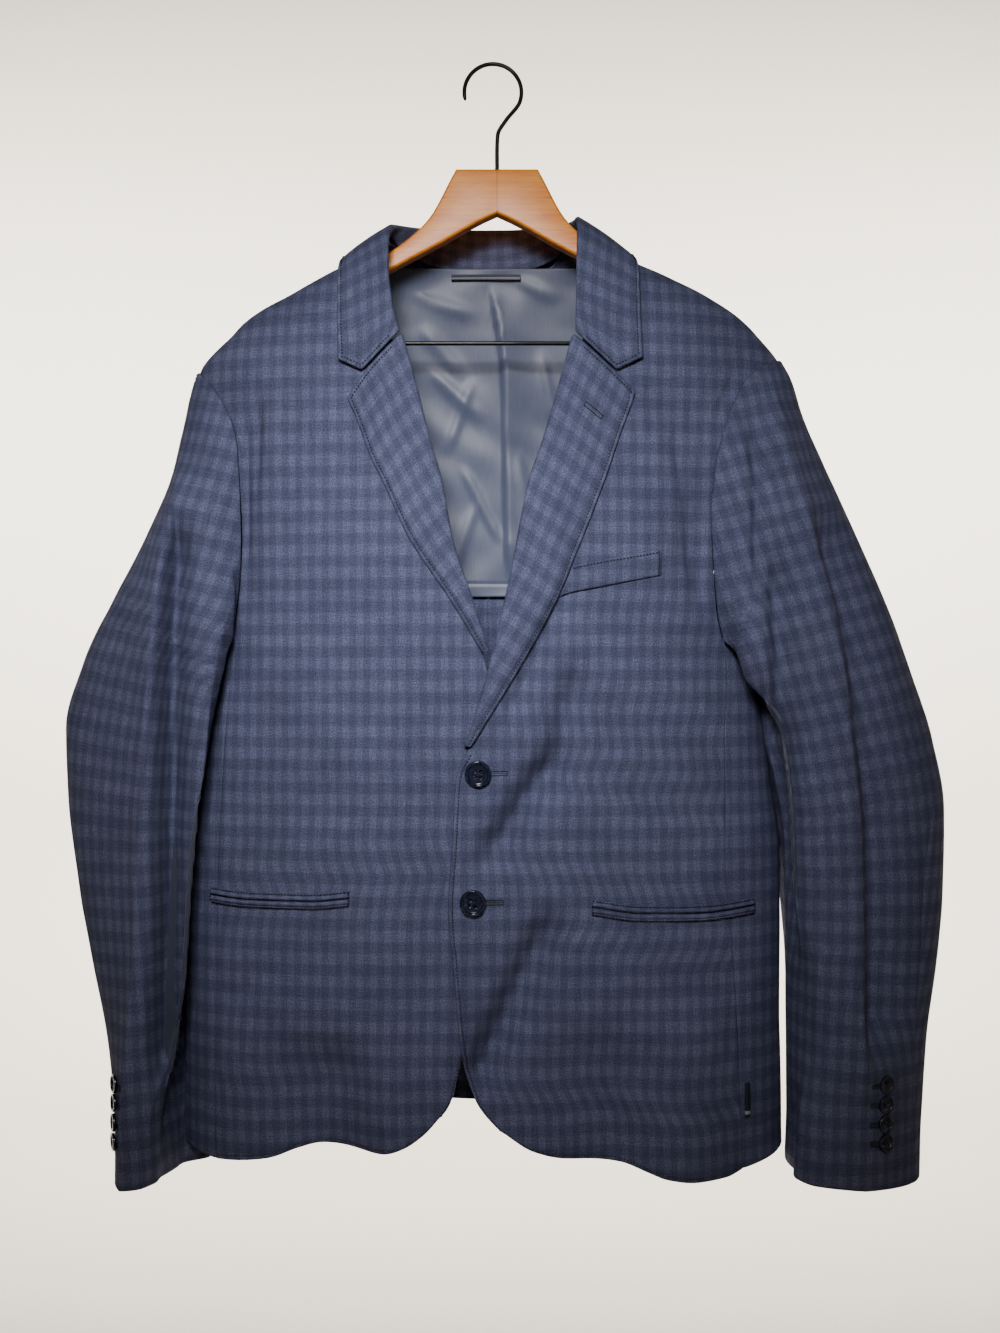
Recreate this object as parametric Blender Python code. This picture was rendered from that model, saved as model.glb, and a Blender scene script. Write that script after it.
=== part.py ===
# Single breasted blazer, two buttons, notch lapels, hanging on a wooden hanger.
# Metres, +Z up. The origin is where the hook's wire bears on whatever holds it.
# The front looks towards -Y and the wearer's left is towards +X.
# Every cloth panel is a wall that follows one "bag": at each height the garment's
# outline is a rounded flat section, and the panels are cut out of that section.

import math

import bmesh
import bpy
import numpy as np

# ---------------------------------------------------------------- driving sizes
CLOTH = 0.002            # wall of wool with its lining
SEAM_GAP = 0.0003        # between pieces that are sewn to each other
LAYER_GAP = 0.0004       # half of that between pieces that lie on each other
LAP_GAP = 0.0012         # between the fronts, and between the backs at the vent
LINING_GAP = 0.0024      # between the back and its lining
SIDE_POWER = 2.8         # how square the body's section is towards its sides
DEPTH_POWER = 2.0        # how round the section is towards the front and back
WELT = 0.0014            # thickness of a pocket's welt
LINING_THICK = 0.0012    # of the satin where it shows, and of the hanging loop
TAB_THICK = 0.0010

BUTTON_FRONT = 0.0214    # diameter
BUTTON_CUFF = 0.0145
BUTTON_THICK = 0.0040
CUFF_BUTTONS = 4
CUFF_PITCH = 0.0155

WOOD_THICK = 0.014
WIRE = 0.0036
BAR = 0.0036
BAR_Z = -0.2330
BAR_HALF = 0.1860        # where the bar meets the arms

# The body, from the neck down to below the hem. "right" and "left" are the half
# widths on the wearer's right and left, "front" and "back" the depths.
BODY_COLUMNS = ("z", "right", "left", "front", "back")
BODY = (
    (-0.1290, 0.0700, 0.0600, 0.024, 0.028),
    (-0.1400, 0.0840, 0.0760, 0.030, 0.034),
    (-0.1520, 0.1000, 0.0930, 0.035, 0.037),
    (-0.1640, 0.1170, 0.1110, 0.038, 0.039),
    (-0.1781, 0.1463, 0.1410, 0.041, 0.041),
    (-0.1940, 0.1732, 0.1735, 0.045, 0.043),
    (-0.2091, 0.2009, 0.1985, 0.048, 0.045),
    (-0.2184, 0.2135, 0.2095, 0.050, 0.046),
    (-0.2268, 0.2210, 0.2170, 0.051, 0.047),
    (-0.2612, 0.2497, 0.2400, 0.056, 0.050),
    (-0.3000, 0.2510, 0.2420, 0.060, 0.053),
    (-0.3600, 0.2450, 0.2330, 0.064, 0.055),
    (-0.4200, 0.2390, 0.2220, 0.066, 0.055),
    (-0.4750, 0.2340, 0.2140, 0.066, 0.053),
    (-0.5400, 0.2300, 0.2080, 0.065, 0.050),
    (-0.6000, 0.2290, 0.2060, 0.063, 0.047),
    (-0.6600, 0.2320, 0.2100, 0.063, 0.047),
    (-0.7200, 0.2400, 0.2190, 0.064, 0.048),
    (-0.8500, 0.2530, 0.2300, 0.066, 0.052),
    (-0.9400, 0.2570, 0.2320, 0.067, 0.053),
)

# Large soft folds of the body. Each is a trough (depth below 0) or a ridge along
# a line from its top to its foot, "wide" is the half width at half depth.
FRONT, BACK = -1, 1
FOLDS = (
    # side, top x, top z, foot x, foot z, wide, depth
    (FRONT, -0.1970, -0.2700, -0.2020, -0.4700, 0.0080, -0.0070),
    (FRONT, -0.1780, -0.2650, -0.1880, -0.4200, 0.0120, 0.0045),
    (FRONT, 0.1330, -0.2500, 0.1490, -0.3800, 0.0100, -0.0050),
    (FRONT, 0.1560, -0.2700, 0.1620, -0.4700, 0.0080, -0.0060),
    (FRONT, 0.0450, -0.5500, -0.0100, -0.6750, 0.0160, -0.0045),
    (FRONT, 0.0300, -0.7150, -0.0050, -0.8200, 0.0150, -0.0040),
    (FRONT, -0.1400, -0.7900, -0.1350, -0.9600, 0.0330, -0.0170),
    (FRONT, -0.0850, -0.8000, -0.0800, -0.9600, 0.0250, 0.0060),
    (FRONT, -0.2150, -0.7600, -0.2150, -0.9600, 0.0280, 0.0100),
    (FRONT, 0.0850, -0.7800, 0.0850, -0.9600, 0.0300, -0.0100),
    (FRONT, 0.1600, -0.7600, 0.1620, -0.9600, 0.0320, 0.0120),
    (BACK, -0.1560, -0.2800, -0.1650, -0.4700, 0.0120, -0.0060),
    (BACK, 0.1450, -0.2900, 0.1500, -0.4800, 0.0120, -0.0060),
    (BACK, -0.0700, -0.5200, -0.0950, -0.6600, 0.0180, -0.0040),
    (BACK, 0.0650, -0.5000, 0.0900, -0.6500, 0.0180, -0.0045),
    (BACK, -0.1150, -0.7600, -0.1200, -0.9600, 0.0320, -0.0100),
    (BACK, 0.1050, -0.7700, 0.1120, -0.9600, 0.0320, -0.0090),
    (BACK, -0.0550, -0.7600, -0.0520, -0.9600, 0.0300, 0.0060),
    (BACK, 0.0500, -0.7600, 0.0480, -0.9600, 0.0300, 0.0060),
)
FOLD_END = 0.045         # how far from its ends a fold fades in

# Edges of the panels, as x and z on the body.
NECK_RIGHT = (-0.0920, -0.1460)
NECK_LEFT = (0.0740, -0.1386)
TIP_RIGHT = (-0.2497, -0.2612)
TIP_LEFT = (0.2353, -0.2520)
NECK_BACK = (-0.0080, -0.1640)
HEM_BACK = (-0.0080, -0.8850)

FRONT_EDGE_RIGHT = (
    NECK_RIGHT, (-0.0960, -0.1650), (-0.0965, -0.1850), (-0.0925, -0.2120),
    (-0.0835, -0.2450), (-0.0700, -0.2847), (-0.0587, -0.3237), (-0.0490, -0.3560), (-0.0400, -0.4038),
    (-0.0245, -0.4516), (-0.0110, -0.4954), (0.0000, -0.5313), (0.0070, -0.5711),
    (0.0085, -0.6100), (0.0060, -0.6500), (0.0000, -0.6970), (-0.0060, -0.7437),
    (-0.0180, -0.7950), (-0.0268, -0.8230), (-0.0332, -0.8444), (-0.0443, -0.8627),
)
FRONT_EDGE_LEFT = (
    NECK_LEFT, (0.0765, -0.1600), (0.0775, -0.1800), (0.0750, -0.2120), (0.0695, -0.2400),
    (0.0590, -0.2640), (0.0501, -0.2962), (0.0398, -0.3305), (0.0310, -0.3560),
    (0.0135, -0.4436), (-0.0104, -0.5393), (-0.0225, -0.5700), (-0.0324, -0.5922),
    (-0.0356, -0.6462), (-0.0387, -0.6969), (-0.0348, -0.7437), (-0.0268, -0.8230),
    (-0.0173, -0.8492), (0.0033, -0.8730),
)
HEM_RIGHT = (
    (-0.0443, -0.8627), (-0.0586, -0.8777), (-0.0752, -0.8872), (-0.0927, -0.8915),
    (-0.1228, -0.8890), (-0.1400, -0.8885), (-0.1600, -0.8920), (-0.1830, -0.8990),
    (-0.2120, -0.9040),
)
HEM_LEFT = (
    (0.0033, -0.8730), (0.0279, -0.8890), (0.0533, -0.8960), (0.0794, -0.8985),
    (0.1000, -0.9010), (0.1207, -0.9080), (0.1357, -0.9130), (0.1603, -0.9155),
    (0.1850, -0.9150), (0.2000, -0.9110),
)
ARMHOLE_FRONT_RIGHT = (
    TIP_RIGHT, (-0.2349, -0.2759), (-0.2247, -0.2903), (-0.2170, -0.3044),
    (-0.2121, -0.3207), (-0.2095, -0.3519), (-0.2079, -0.4010), (-0.2080, -0.4400),
    (-0.2085, -0.4750),
)
ARMHOLE_FRONT_LEFT = (
    TIP_LEFT, (0.2235, -0.2570), (0.2098, -0.2660), (0.1990, -0.2790),
    (0.1907, -0.2961), (0.1811, -0.3224), (0.1752, -0.3519), (0.1728, -0.3847),
    (0.1744, -0.4174), (0.1785, -0.4616), (0.1840, -0.4837),
)
SEAM_FRONT_RIGHT = (
    (-0.2085, -0.4750), (-0.2080, -0.5300), (-0.2070, -0.6000), (-0.2090, -0.6800),
    (-0.2110, -0.7600), (-0.2120, -0.8400), (-0.2120, -0.9040),
)
SEAM_FRONT_LEFT = (
    (0.1840, -0.4837), (0.1875, -0.5100), (0.1851, -0.5704), (0.1851, -0.6569),
    (0.1910, -0.7312), (0.1948, -0.7902), (0.1975, -0.8500), (0.2000, -0.9110),
)
ARMHOLE_BACK_RIGHT = (
    TIP_RIGHT, (-0.2350, -0.2800), (-0.2215, -0.3100), (-0.2130, -0.3500),
    (-0.2080, -0.4000), (-0.2020, -0.4500),
)
ARMHOLE_BACK_LEFT = (
    TIP_LEFT, (0.2230, -0.2760), (0.2090, -0.3100), (0.1990, -0.3500),
    (0.1910, -0.4000), (0.1840, -0.4500),
)
SEAM_BACK_RIGHT = (
    (-0.2020, -0.4500), (-0.1960, -0.5200), (-0.1910, -0.6000), (-0.1930, -0.7000),
    (-0.1980, -0.8000), (-0.2020, -0.8900),
)
SEAM_BACK_LEFT = (
    (0.1840, -0.4500), (0.1780, -0.5200), (0.1730, -0.6000), (0.1750, -0.7000),
    (0.1800, -0.8000), (0.1830, -0.8900),
)
UNDERARM_RIGHT_Z = -0.4870
UNDERARM_LEFT_Z = -0.4960
UNDERARM_EASE = 0.006    # how far the side panels stay below the sleeves' seam

# Sleeves, a row for each ring. "out" is the ring's outermost point, "in" its point
# nearest to the body, "fore" and "rear" the half depths towards front and back,
# "elbow" and "inner" where the two seams lie round the ring, in degrees from "out"
# over the front.
SLEEVE_COLUMNS = ("out x", "out y", "out z", "in x", "in y", "in z",
                  "fore", "rear", "elbow", "inner")
SLEEVE_RIGHT = (
    (-0.2497, 0.000, -0.2612, -0.2345, 0.000, -0.4870, 0.045, 0.040, -75, 128),
    (-0.2550, 0.000, -0.2790, -0.2385, -0.003, -0.4925, 0.051, 0.046, -68, 132),
    (-0.2615, 0.000, -0.3090, -0.2405, -0.006, -0.4985, 0.057, 0.052, -58, 137),
    (-0.2710, 0.000, -0.3490, -0.2415, -0.009, -0.5070, 0.062, 0.057, -45, 144),
    (-0.2870, 0.000, -0.3920, -0.2420, -0.012, -0.5180, 0.064, 0.059, -28, 152),
    (-0.3130, 0.001, -0.4480, -0.2425, -0.014, -0.5360, 0.063, 0.059, -10, 162),
    (-0.3375, 0.002, -0.5000, -0.2430, -0.016, -0.5620, 0.061, 0.058, 8, 172),
    (-0.3530, 0.002, -0.5550, -0.2440, -0.017, -0.5930, 0.059, 0.056, 20, 182),
    (-0.3545, 0.002, -0.6150, -0.2465, -0.018, -0.6370, 0.057, 0.054, 28, 190),
    (-0.3425, 0.000, -0.6850, -0.2515, -0.019, -0.6960, 0.055, 0.051, 36, 194),
    (-0.3285, -0.004, -0.7500, -0.2570, -0.022, -0.7560, 0.053, 0.049, 42, 196),
    (-0.3165, -0.008, -0.8100, -0.2600, -0.024, -0.8130, 0.052, 0.048, 46, 196),
    (-0.3065, -0.010, -0.8680, -0.2615, -0.026, -0.8690, 0.051, 0.048, 48, 196),
    (-0.3055, -0.012, -0.9220, -0.2625, -0.026, -0.9190, 0.051, 0.048, 48, 196),
)
SLEEVE_LEFT = (
    (0.2353, 0.000, -0.2520, 0.2145, 0.000, -0.4960, 0.045, 0.040, -75, 128),
    (0.2445, 0.000, -0.2690, 0.2195, -0.003, -0.5000, 0.051, 0.046, -68, 132),
    (0.2545, 0.000, -0.2980, 0.2210, -0.008, -0.5050, 0.057, 0.052, -58, 137),
    (0.2735, 0.001, -0.3400, 0.2210, -0.014, -0.5120, 0.062, 0.057, -45, 144),
    (0.2950, 0.002, -0.3920, 0.2200, -0.020, -0.5230, 0.064, 0.059, -28, 152),
    (0.3200, 0.003, -0.4490, 0.2190, -0.025, -0.5400, 0.063, 0.059, -10, 162),
    (0.3420, 0.004, -0.5060, 0.2180, -0.027, -0.5660, 0.061, 0.057, 8, 172),
    (0.3595, 0.004, -0.5650, 0.2190, -0.027, -0.5980, 0.059, 0.055, 20, 182),
    (0.3695, 0.004, -0.6250, 0.2230, -0.026, -0.6450, 0.058, 0.053, 30, 190),
    (0.3680, 0.001, -0.6950, 0.2310, -0.024, -0.7050, 0.056, 0.050, 42, 194),
    (0.3620, -0.004, -0.7550, 0.2365, -0.024, -0.7600, 0.054, 0.048, 51, 196),
    (0.3550, -0.010, -0.8150, 0.2395, -0.026, -0.8150, 0.053, 0.047, 57, 196),
    (0.3500, -0.014, -0.8730, 0.2395, -0.029, -0.8680, 0.052, 0.047, 60, 196),
    (0.3475, -0.016, -0.9240, 0.2380, -0.030, -0.9120, 0.052, 0.047, 60, 196),
)
SLEEVE_HEAD = 6          # rings over which the armhole's outline becomes an oval
SLEEVE_OVAL = 0.88       # 1 is an ellipse, less is a squarer oval
SLEEVE_RADIUS = 0.055    # about a ring's radius, for the seam gap as an angle
SLEEVE_SEAM = 0.0004     # each sleeve piece's share of the gap, wide as it curves more
TURN_STEP = 1e-3         # for slopes along and round a sleeve
SLEEVE_LENGTHS = {       # name ending, first and last ring: the wider left sleeve is made in
    "right": (("", 0, 19),),       # two lengths, so that its collision stays open inside
    "left": (("", 0, 13), ("_forearm", 13, 19)),
}

# The collar, a row for each section from the right gorge round the neck to the left
# one: the top of the fold, the leaf's outer edge, the seam at the foot of the stand,
# and how far the leaf's middle dips to reach the notch.
COLLAR_COLUMNS = ("fold x", "fold y", "fold z", "leaf x", "leaf y", "leaf z",
                  "seam x", "seam y", "seam z", "dip")
COLLAR = (
    (-0.0775, -0.0545, -0.2361, -0.1272, -0.0575, -0.2585, -0.0803, -0.0495, -0.2361, 0.0155),
    (-0.0810, -0.0530, -0.2240, -0.1278, -0.0560, -0.2460, -0.0840, -0.0470, -0.2240, 0.0060),
    (-0.0842, -0.0505, -0.2080, -0.1286, -0.0530, -0.2290, -0.0880, -0.0430, -0.2090, 0.0010),
    (-0.0876, -0.0430, -0.1833, -0.1292, -0.0470, -0.2050, -0.0928, -0.0350, -0.1833, 0.0),
    (-0.0885, -0.0240, -0.1508, -0.1300, -0.0365, -0.1790, -0.0902, -0.0180, -0.1545, 0.0),
    (-0.0862, 0.0040, -0.1327, -0.1302, 0.0000, -0.1640, -0.0890, 0.0040, -0.1425, 0.0),
    (-0.0691, 0.0330, -0.1255, -0.1180, 0.0385, -0.1760, -0.0720, 0.0300, -0.1525, 0.0),
    (-0.0400, 0.0440, -0.1235, -0.0640, 0.0480, -0.1790, -0.0400, 0.0370, -0.1605, 0.0),
    (-0.0080, 0.0460, -0.1235, -0.0080, 0.0500, -0.1790, -0.0080, 0.0385, -0.1620, 0.0),
    (0.0240, 0.0430, -0.1235, 0.0480, 0.0480, -0.1780, 0.0240, 0.0370, -0.1605, 0.0),
    (0.0500, 0.0320, -0.1250, 0.1030, 0.0385, -0.1730, 0.0545, 0.0310, -0.1495, 0.0),
    (0.0655, 0.0040, -0.1270, 0.1150, 0.0000, -0.1620, 0.0710, 0.0040, -0.1355, 0.0),
    (0.0655, -0.0280, -0.1450, 0.1157, -0.0390, -0.1790, 0.0712, -0.0210, -0.1490, 0.0),
    (0.0645, -0.0400, -0.1720, 0.1158, -0.0460, -0.2000, 0.0732, -0.0330, -0.1730, 0.0),
    (0.0636, -0.0505, -0.2050, 0.1160, -0.0525, -0.2250, 0.0735, -0.0440, -0.2060, 0.0010),
    (0.0630, -0.0540, -0.2230, 0.1166, -0.0555, -0.2440, 0.0712, -0.0475, -0.2230, 0.0060),
    (0.0627, -0.0555, -0.2369, 0.1170, -0.0575, -0.2569, 0.0682, -0.0510, -0.2369, 0.0155),
)
FOLD_RADIUS = 0.0032     # of the collar's fold, at its outer skin
LEAF_CROWN = 0.0015      # how far the leaf bulges

# Lapels: the roll line, the outer edge from the point down, and the upper edge.
ROLL_RIGHT = (
    (-0.0778, -0.2385), (-0.0653, -0.2847), (-0.0557, -0.3237), (-0.0461, -0.3560),
    (-0.0373, -0.4038), (-0.0214, -0.4516), (-0.0085, -0.4930),
)
LAPEL_RIGHT = (
    (-0.1196, -0.2903), (-0.1109, -0.3102), (-0.0997, -0.3400), (-0.0917, -0.3557),
    (-0.0693, -0.4036), (-0.0374, -0.4515), (-0.0125, -0.4930),
)
GORGE_RIGHT = ((-0.0778, -0.2385), (-0.1053, -0.2700), (-0.1196, -0.2903))
ROLL_LEFT = (
    (0.0625, -0.2395), (0.0560, -0.2640), (0.0471, -0.2962), (0.0368, -0.3305),
    (0.0280, -0.3560), (0.0105, -0.4436), (-0.0134, -0.5393), (-0.0235, -0.5680),
)
LAPEL_LEFT = (
    (0.1111, -0.2850), (0.1063, -0.2991), (0.0991, -0.3182), (0.0863, -0.3557),
    (0.0504, -0.4435), (0.0025, -0.5313), (-0.0195, -0.5680),
)
GORGE_LEFT = ((0.0625, -0.2395), (0.0950, -0.2700), (0.1111, -0.2850))
LAPEL_CROWN = 0.0030     # how far a lapel rolls off the chest

# Pockets: the corners of the breast welt, and each hip pocket's line.
BREAST_WELT = ((0.0605, -0.4240), (0.1310, -0.4109), (0.0490, -0.4480), (0.1310, -0.4316))
HIP_RIGHT = ((-0.1172, -0.6895), (-0.1500, -0.6925), (-0.2000, -0.6925), (-0.2330, -0.6905))
HIP_LEFT = ((0.0751, -0.6960), (0.1150, -0.7015), (0.1650, -0.7025), (0.2090, -0.6990))
HIP_WELT = 0.0062        # height of each of a pocket's two welts

BUTTONS_FRONT = ((-0.0150, -0.5900), (-0.0190, -0.6925))
CUFF_BUTTON_ANGLE = {"right": 82.0, "left": 83.0}
CUFF_BUTTON_Z = -0.8360  # of the uppermost

LINING_SHOWN = ((-0.0870, -0.1680), (0.0710, -0.1680), (-0.1000, -0.4440), (0.0860, -0.4440))
LOOP = (-0.0400, 0.0205, -0.1700)
LOOP_HIGH = 0.0050
TAB = (0.2005, 0.2052, -0.8420, -0.8710)

# The hanger: half of its outline from the middle outwards, above and below, and the
# hook's wire from its stem to its tip.
WOOD_TOP = (
    (0.0000, -0.0886), (0.0343, -0.0886), (0.0412, -0.1015), (0.0471, -0.1133),
    (0.0580, -0.1310), (0.0841, -0.1540), (0.1295, -0.1805), (0.1732, -0.1995),
    (0.1980, -0.2150), (0.2075, -0.2245),
)
WOOD_UNDER = (
    (0.2085, -0.2330), (0.2040, -0.2405), (0.1800, -0.2270), (0.1400, -0.2030),
    (0.0891, -0.1730), (0.0450, -0.1495), (0.0150, -0.1325), (0.0000, -0.1255),
)
WOOD_EDGE = 0.0022
HOOK_MIDDLE = (-0.0035, -0.0222)      # of its round part
HOOK_RADIUS = 0.0240
HOOK_START_TURN = -22.0               # degrees round from +X
HOOK_TIP_TURN = 196.0
HOOK_STEM = ((0.0000, -0.0883), (0.0000, -0.0700), (0.0006, -0.0580), (0.0072, -0.0460))


# ---------------------------------------------------------------- curves
def smooth_curve(knots, values):
    """A curve through a table's values that doesn't overshoot between its rows."""
    knots = np.asarray(knots, float)
    values = np.asarray(values, float)
    steps = np.diff(knots)
    slopes = np.diff(values) / steps
    tangents = np.zeros(len(knots))
    tangents[0] = slopes[0]
    tangents[-1] = slopes[-1]
    for k in range(1, len(knots) - 1):
        if slopes[k - 1] * slopes[k] > 0:
            tangents[k] = 2 * slopes[k - 1] * slopes[k] / (slopes[k - 1] + slopes[k])

    def value(at):
        at = np.clip(np.asarray(at, float), knots[0], knots[-1])
        k = np.clip(np.searchsorted(knots, at) - 1, 0, len(steps) - 1)
        t = (at - knots[k]) / steps[k]
        hold = (1 + 2 * t) * (1 - t) ** 2 * values[k] + t * t * (3 - 2 * t) * values[k + 1]
        lean = t * (1 - t) ** 2 * tangents[k] - t * t * (1 - t) * tangents[k + 1]
        return hold + lean * steps[k]

    return value


def path(points):
    """A smooth path through points, as a function of 0 to 1 by its length."""
    points = np.asarray(points, float)
    run = np.concatenate([[0.0], np.cumsum(np.linalg.norm(np.diff(points, axis=0), axis=1))])
    parts = [smooth_curve(run / run[-1], points[:, k]) for k in range(points.shape[1])]
    return lambda at: np.stack([part(at) for part in parts], axis=-1)


def columns(rows, names):
    """A table's columns under their names."""
    rows = np.asarray(rows, float)
    return {name: rows[:, k] for k, name in enumerate(names)}


def ease(t):
    t = np.clip(t, 0.0, 1.0)
    return t * t * (3 - 2 * t)


# ---------------------------------------------------------------- the body's form
body_table = columns(BODY[::-1], BODY_COLUMNS)
BODY_AT = {name: smooth_curve(body_table["z"], body_table[name]) for name in BODY_COLUMNS[1:]}


def fold_depth(x, z, side):
    """How far the large folds push the body's wall outwards at x and z."""
    total = np.zeros(np.broadcast(x, z, side).shape)
    for fold_side, x0, z0, x1, z1, wide, depth in FOLDS:
        length = math.hypot(x1 - x0, z1 - z0)
        dx, dz = (x1 - x0) / length, (z1 - z0) / length
        along = (x - x0) * dx + (z - z0) * dz
        across = (x - x0) * dz - (z - z0) * dx
        fade = ease(along / FOLD_END) * ease((length - along) / FOLD_END)
        total = total + np.where(side == fold_side, depth * fade * np.exp(-(across / wide) ** 2), 0.0)
    return total


def bag(turn, z, hand):
    """Point and outward normal on the body. turn is 0 at the side and a right angle
    at the middle of the front, or less than 0 towards the back; hand is -1 on the
    wearer's right and 1 on the left."""
    turn, z, hand = np.broadcast_arrays(np.asarray(turn, float), np.asarray(z, float), hand)
    side = np.where(turn >= 0, FRONT, BACK)

    def sizes(z):
        half = np.where(hand < 0, BODY_AT["right"](z), BODY_AT["left"](z))
        deep = np.where(side == FRONT, BODY_AT["front"](z), BODY_AT["back"](z))
        return half, deep

    half, deep = sizes(z)
    cos = np.abs(np.cos(turn))
    sin = np.abs(np.sin(turn))
    out = cos ** (2 / SIDE_POWER)
    far = sin ** (2 / DEPTH_POWER)
    x = hand * half * out
    room = sin ** 2                                   # no fold where front and back meet
    y = side * (deep * far + fold_depth(x, z, side) * room)

    step = 1e-4
    half_up, deep_up = sizes(z + step)
    half_down, deep_down = sizes(z - step)
    grad_x = hand * SIDE_POWER * out ** (SIDE_POWER - 1) / half
    grad_y = side * DEPTH_POWER * far ** (DEPTH_POWER - 1) / deep
    grad_z = -(SIDE_POWER * out ** SIDE_POWER * (half_up - half_down) / half
               + DEPTH_POWER * far ** DEPTH_POWER * (deep_up - deep_down) / deep) / (2 * step)
    slope_x = (fold_depth(x + step, z, side) - fold_depth(x - step, z, side)) / (2 * step)
    slope_z = (fold_depth(x, z + step, side) - fold_depth(x, z - step, side)) / (2 * step)
    grad_x = grad_x - grad_y * side * slope_x * room
    grad_z = grad_z - grad_y * side * slope_z * room
    normal = np.stack([grad_x, grad_y, grad_z], axis=-1)
    normal = normal / np.linalg.norm(normal, axis=-1, keepdims=True)
    return np.stack([x, y, z], axis=-1), normal


def turn_at(x, z, side):
    """The bag's turn at a given x."""
    hand = np.where(x < 0, -1, 1)
    half = np.where(hand < 0, BODY_AT["right"](z), BODY_AT["left"](z))
    out = np.clip(np.abs(x) / half, 0.0, 1.0)
    return -side * np.arccos(np.clip(out ** (SIDE_POWER / 2), 0.0, 1.0)), hand


def on_body(x, z, side, lift=0.0):
    """Point and normal on the body at x and z, lifted off it."""
    turn, hand = turn_at(np.asarray(x, float), np.asarray(z, float), side)
    point, normal = bag(turn, z, hand)
    return point + normal * np.expand_dims(np.asarray(lift) + 0 * point[..., 0], -1), normal


# ---------------------------------------------------------------- meshes
def finish(name, colour, roughness, metallic=0.0, verts=(), faces=()):
    """An object of its own from points and faces, with its own material."""
    mesh = bpy.data.meshes.new(name)
    mesh.from_pydata([tuple(map(float, v)) for v in verts], [], faces)
    mesh.validate()
    mesh.shade_smooth()
    mesh.set_sharp_from_angle(angle=math.radians(40))
    paint = bpy.data.materials.new(name)
    paint.use_nodes = True
    shader = paint.node_tree.nodes["Principled BSDF"]
    shader.inputs["Base Color"].default_value = (*colour, 1.0)
    shader.inputs["Roughness"].default_value = roughness
    shader.inputs["Metallic"].default_value = metallic
    mesh.materials.append(paint)
    thing = bpy.data.objects.new(name, mesh)
    bpy.context.scene.collection.objects.link(thing)
    return thing


def grid_faces(rows, cols, start=0, flip=False):
    faces = []
    for i in range(rows - 1):
        for j in range(cols - 1):
            a = start + i * cols + j
            quad = (a, a + 1, a + cols + 1, a + cols)
            faces.append(quad[::-1] if flip else quad)
    return faces


def wall(name, points, normals, thick, colour, roughness=0.85):
    """A closed wall: the points are its outer skin, its inner one lies under it."""
    rows, cols = points.shape[:2]
    count = rows * cols
    i, j = (rows - 1) // 2, (cols - 1) // 2
    edge_a = points[i, j + 1] - points[i, j]
    edge_b = points[i + 1, j] - points[i, j]
    flip = np.dot(np.cross(edge_a, edge_b), normals[i, j]) < 0
    outer = points.reshape(-1, 3)
    inner = (points - normals * thick).reshape(-1, 3)
    faces = grid_faces(rows, cols, 0, flip) + grid_faces(rows, cols, count, not flip)
    rim = ([j for j in range(cols)]
           + [i * cols + cols - 1 for i in range(1, rows)]
           + [(rows - 1) * cols + j for j in range(cols - 2, -1, -1)]
           + [i * cols for i in range(rows - 2, 0, -1)])
    for a, b in zip(rim, rim[1:] + rim[:1]):
        quad = (a, a + count, b + count, b)
        faces.append(quad[::-1] if flip else quad)
    return finish(name, colour, roughness, 0.0, np.concatenate([outer, inner]), faces)


def grid_normals(points, closed=False):
    """Normals of a grid from its neighbours, closed where its columns run round."""
    if closed:
        across = np.roll(points, -1, axis=1) - np.roll(points, 1, axis=1)
    else:
        across = np.gradient(points, axis=1)
    down = np.gradient(points, axis=0)
    normal = np.cross(across, down)
    return normal / np.linalg.norm(normal, axis=-1, keepdims=True)


def patch(top, foot, near, far, rows, cols, crowd=1.0):
    """x and z over a panel between its four edges, rows crowded towards the top."""
    v = np.linspace(0, 1, rows) ** crowd
    u = np.linspace(0, 1, cols)
    top, foot, near, far = top(u), foot(u), near(v), far(v)
    v, u = v[:, None, None], u[None, :, None]
    edges = (1 - v) * top[None] + v * foot[None] + (1 - u) * near[:, None] + u * far[:, None]
    corners = ((1 - u) * (1 - v) * top[0] + u * (1 - v) * top[-1]
               + (1 - u) * v * foot[0] + u * v * foot[-1])
    return edges - corners


def dense(points, count=60):
    return path(points)(np.linspace(0, 1, count))


def inset(points, distance):
    """A line of x and z moved sideways, to its right hand when seen from the front."""
    lean = np.gradient(points, axis=0)
    lean = lean / np.linalg.norm(lean, axis=1, keepdims=True)
    return points + distance * np.stack([lean[:, 1], -lean[:, 0]], axis=1)


def seam_x(points):
    points = np.asarray(points, float)[::-1]
    return smooth_curve(points[:, 1], points[:, 0])


def shoulder(neck, tip, hand):
    """The shoulder seam, where front and back meet on the top of the body, from the
    neck's height to the tip's."""
    z = np.linspace(neck[1], tip[1], 50)
    half = BODY_AT["right"](z) if hand < 0 else BODY_AT["left"](z)
    return np.stack([hand * half, z], axis=1)


# ---------------------------------------------------------------- body panels
WOOL = (0.066, 0.074, 0.130)
WOOL_DARK = (0.045, 0.050, 0.090)
LINING = (0.19, 0.21, 0.30)

LAP_FROM_X = -0.100      # the right front sinks under the left one from here on
LAP_EASE = 0.055
VENT_TOP_Z = -0.700
VENT_LAP = 0.030
VENT_STEP = 0.012        # height over which the vent's edge reaches its lap


def lap_under(x):
    """How deep the wearer's right front lies under the left one."""
    return -(CLOTH + LAP_GAP) * ease((x - LAP_FROM_X) / LAP_EASE)


def outer_edge(armhole, seam, hand):
    """A panel's edge along its armhole and its side seam, half a gap inside them."""
    seam_of = seam_x(seam)
    z = np.linspace(seam[0][1], seam[-1][1], 40)
    down = np.stack([seam_of(z), z], axis=1)
    line = inset(np.concatenate([dense(armhole), down[1:]]), hand * SEAM_GAP / 2)
    return path(line)


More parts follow.
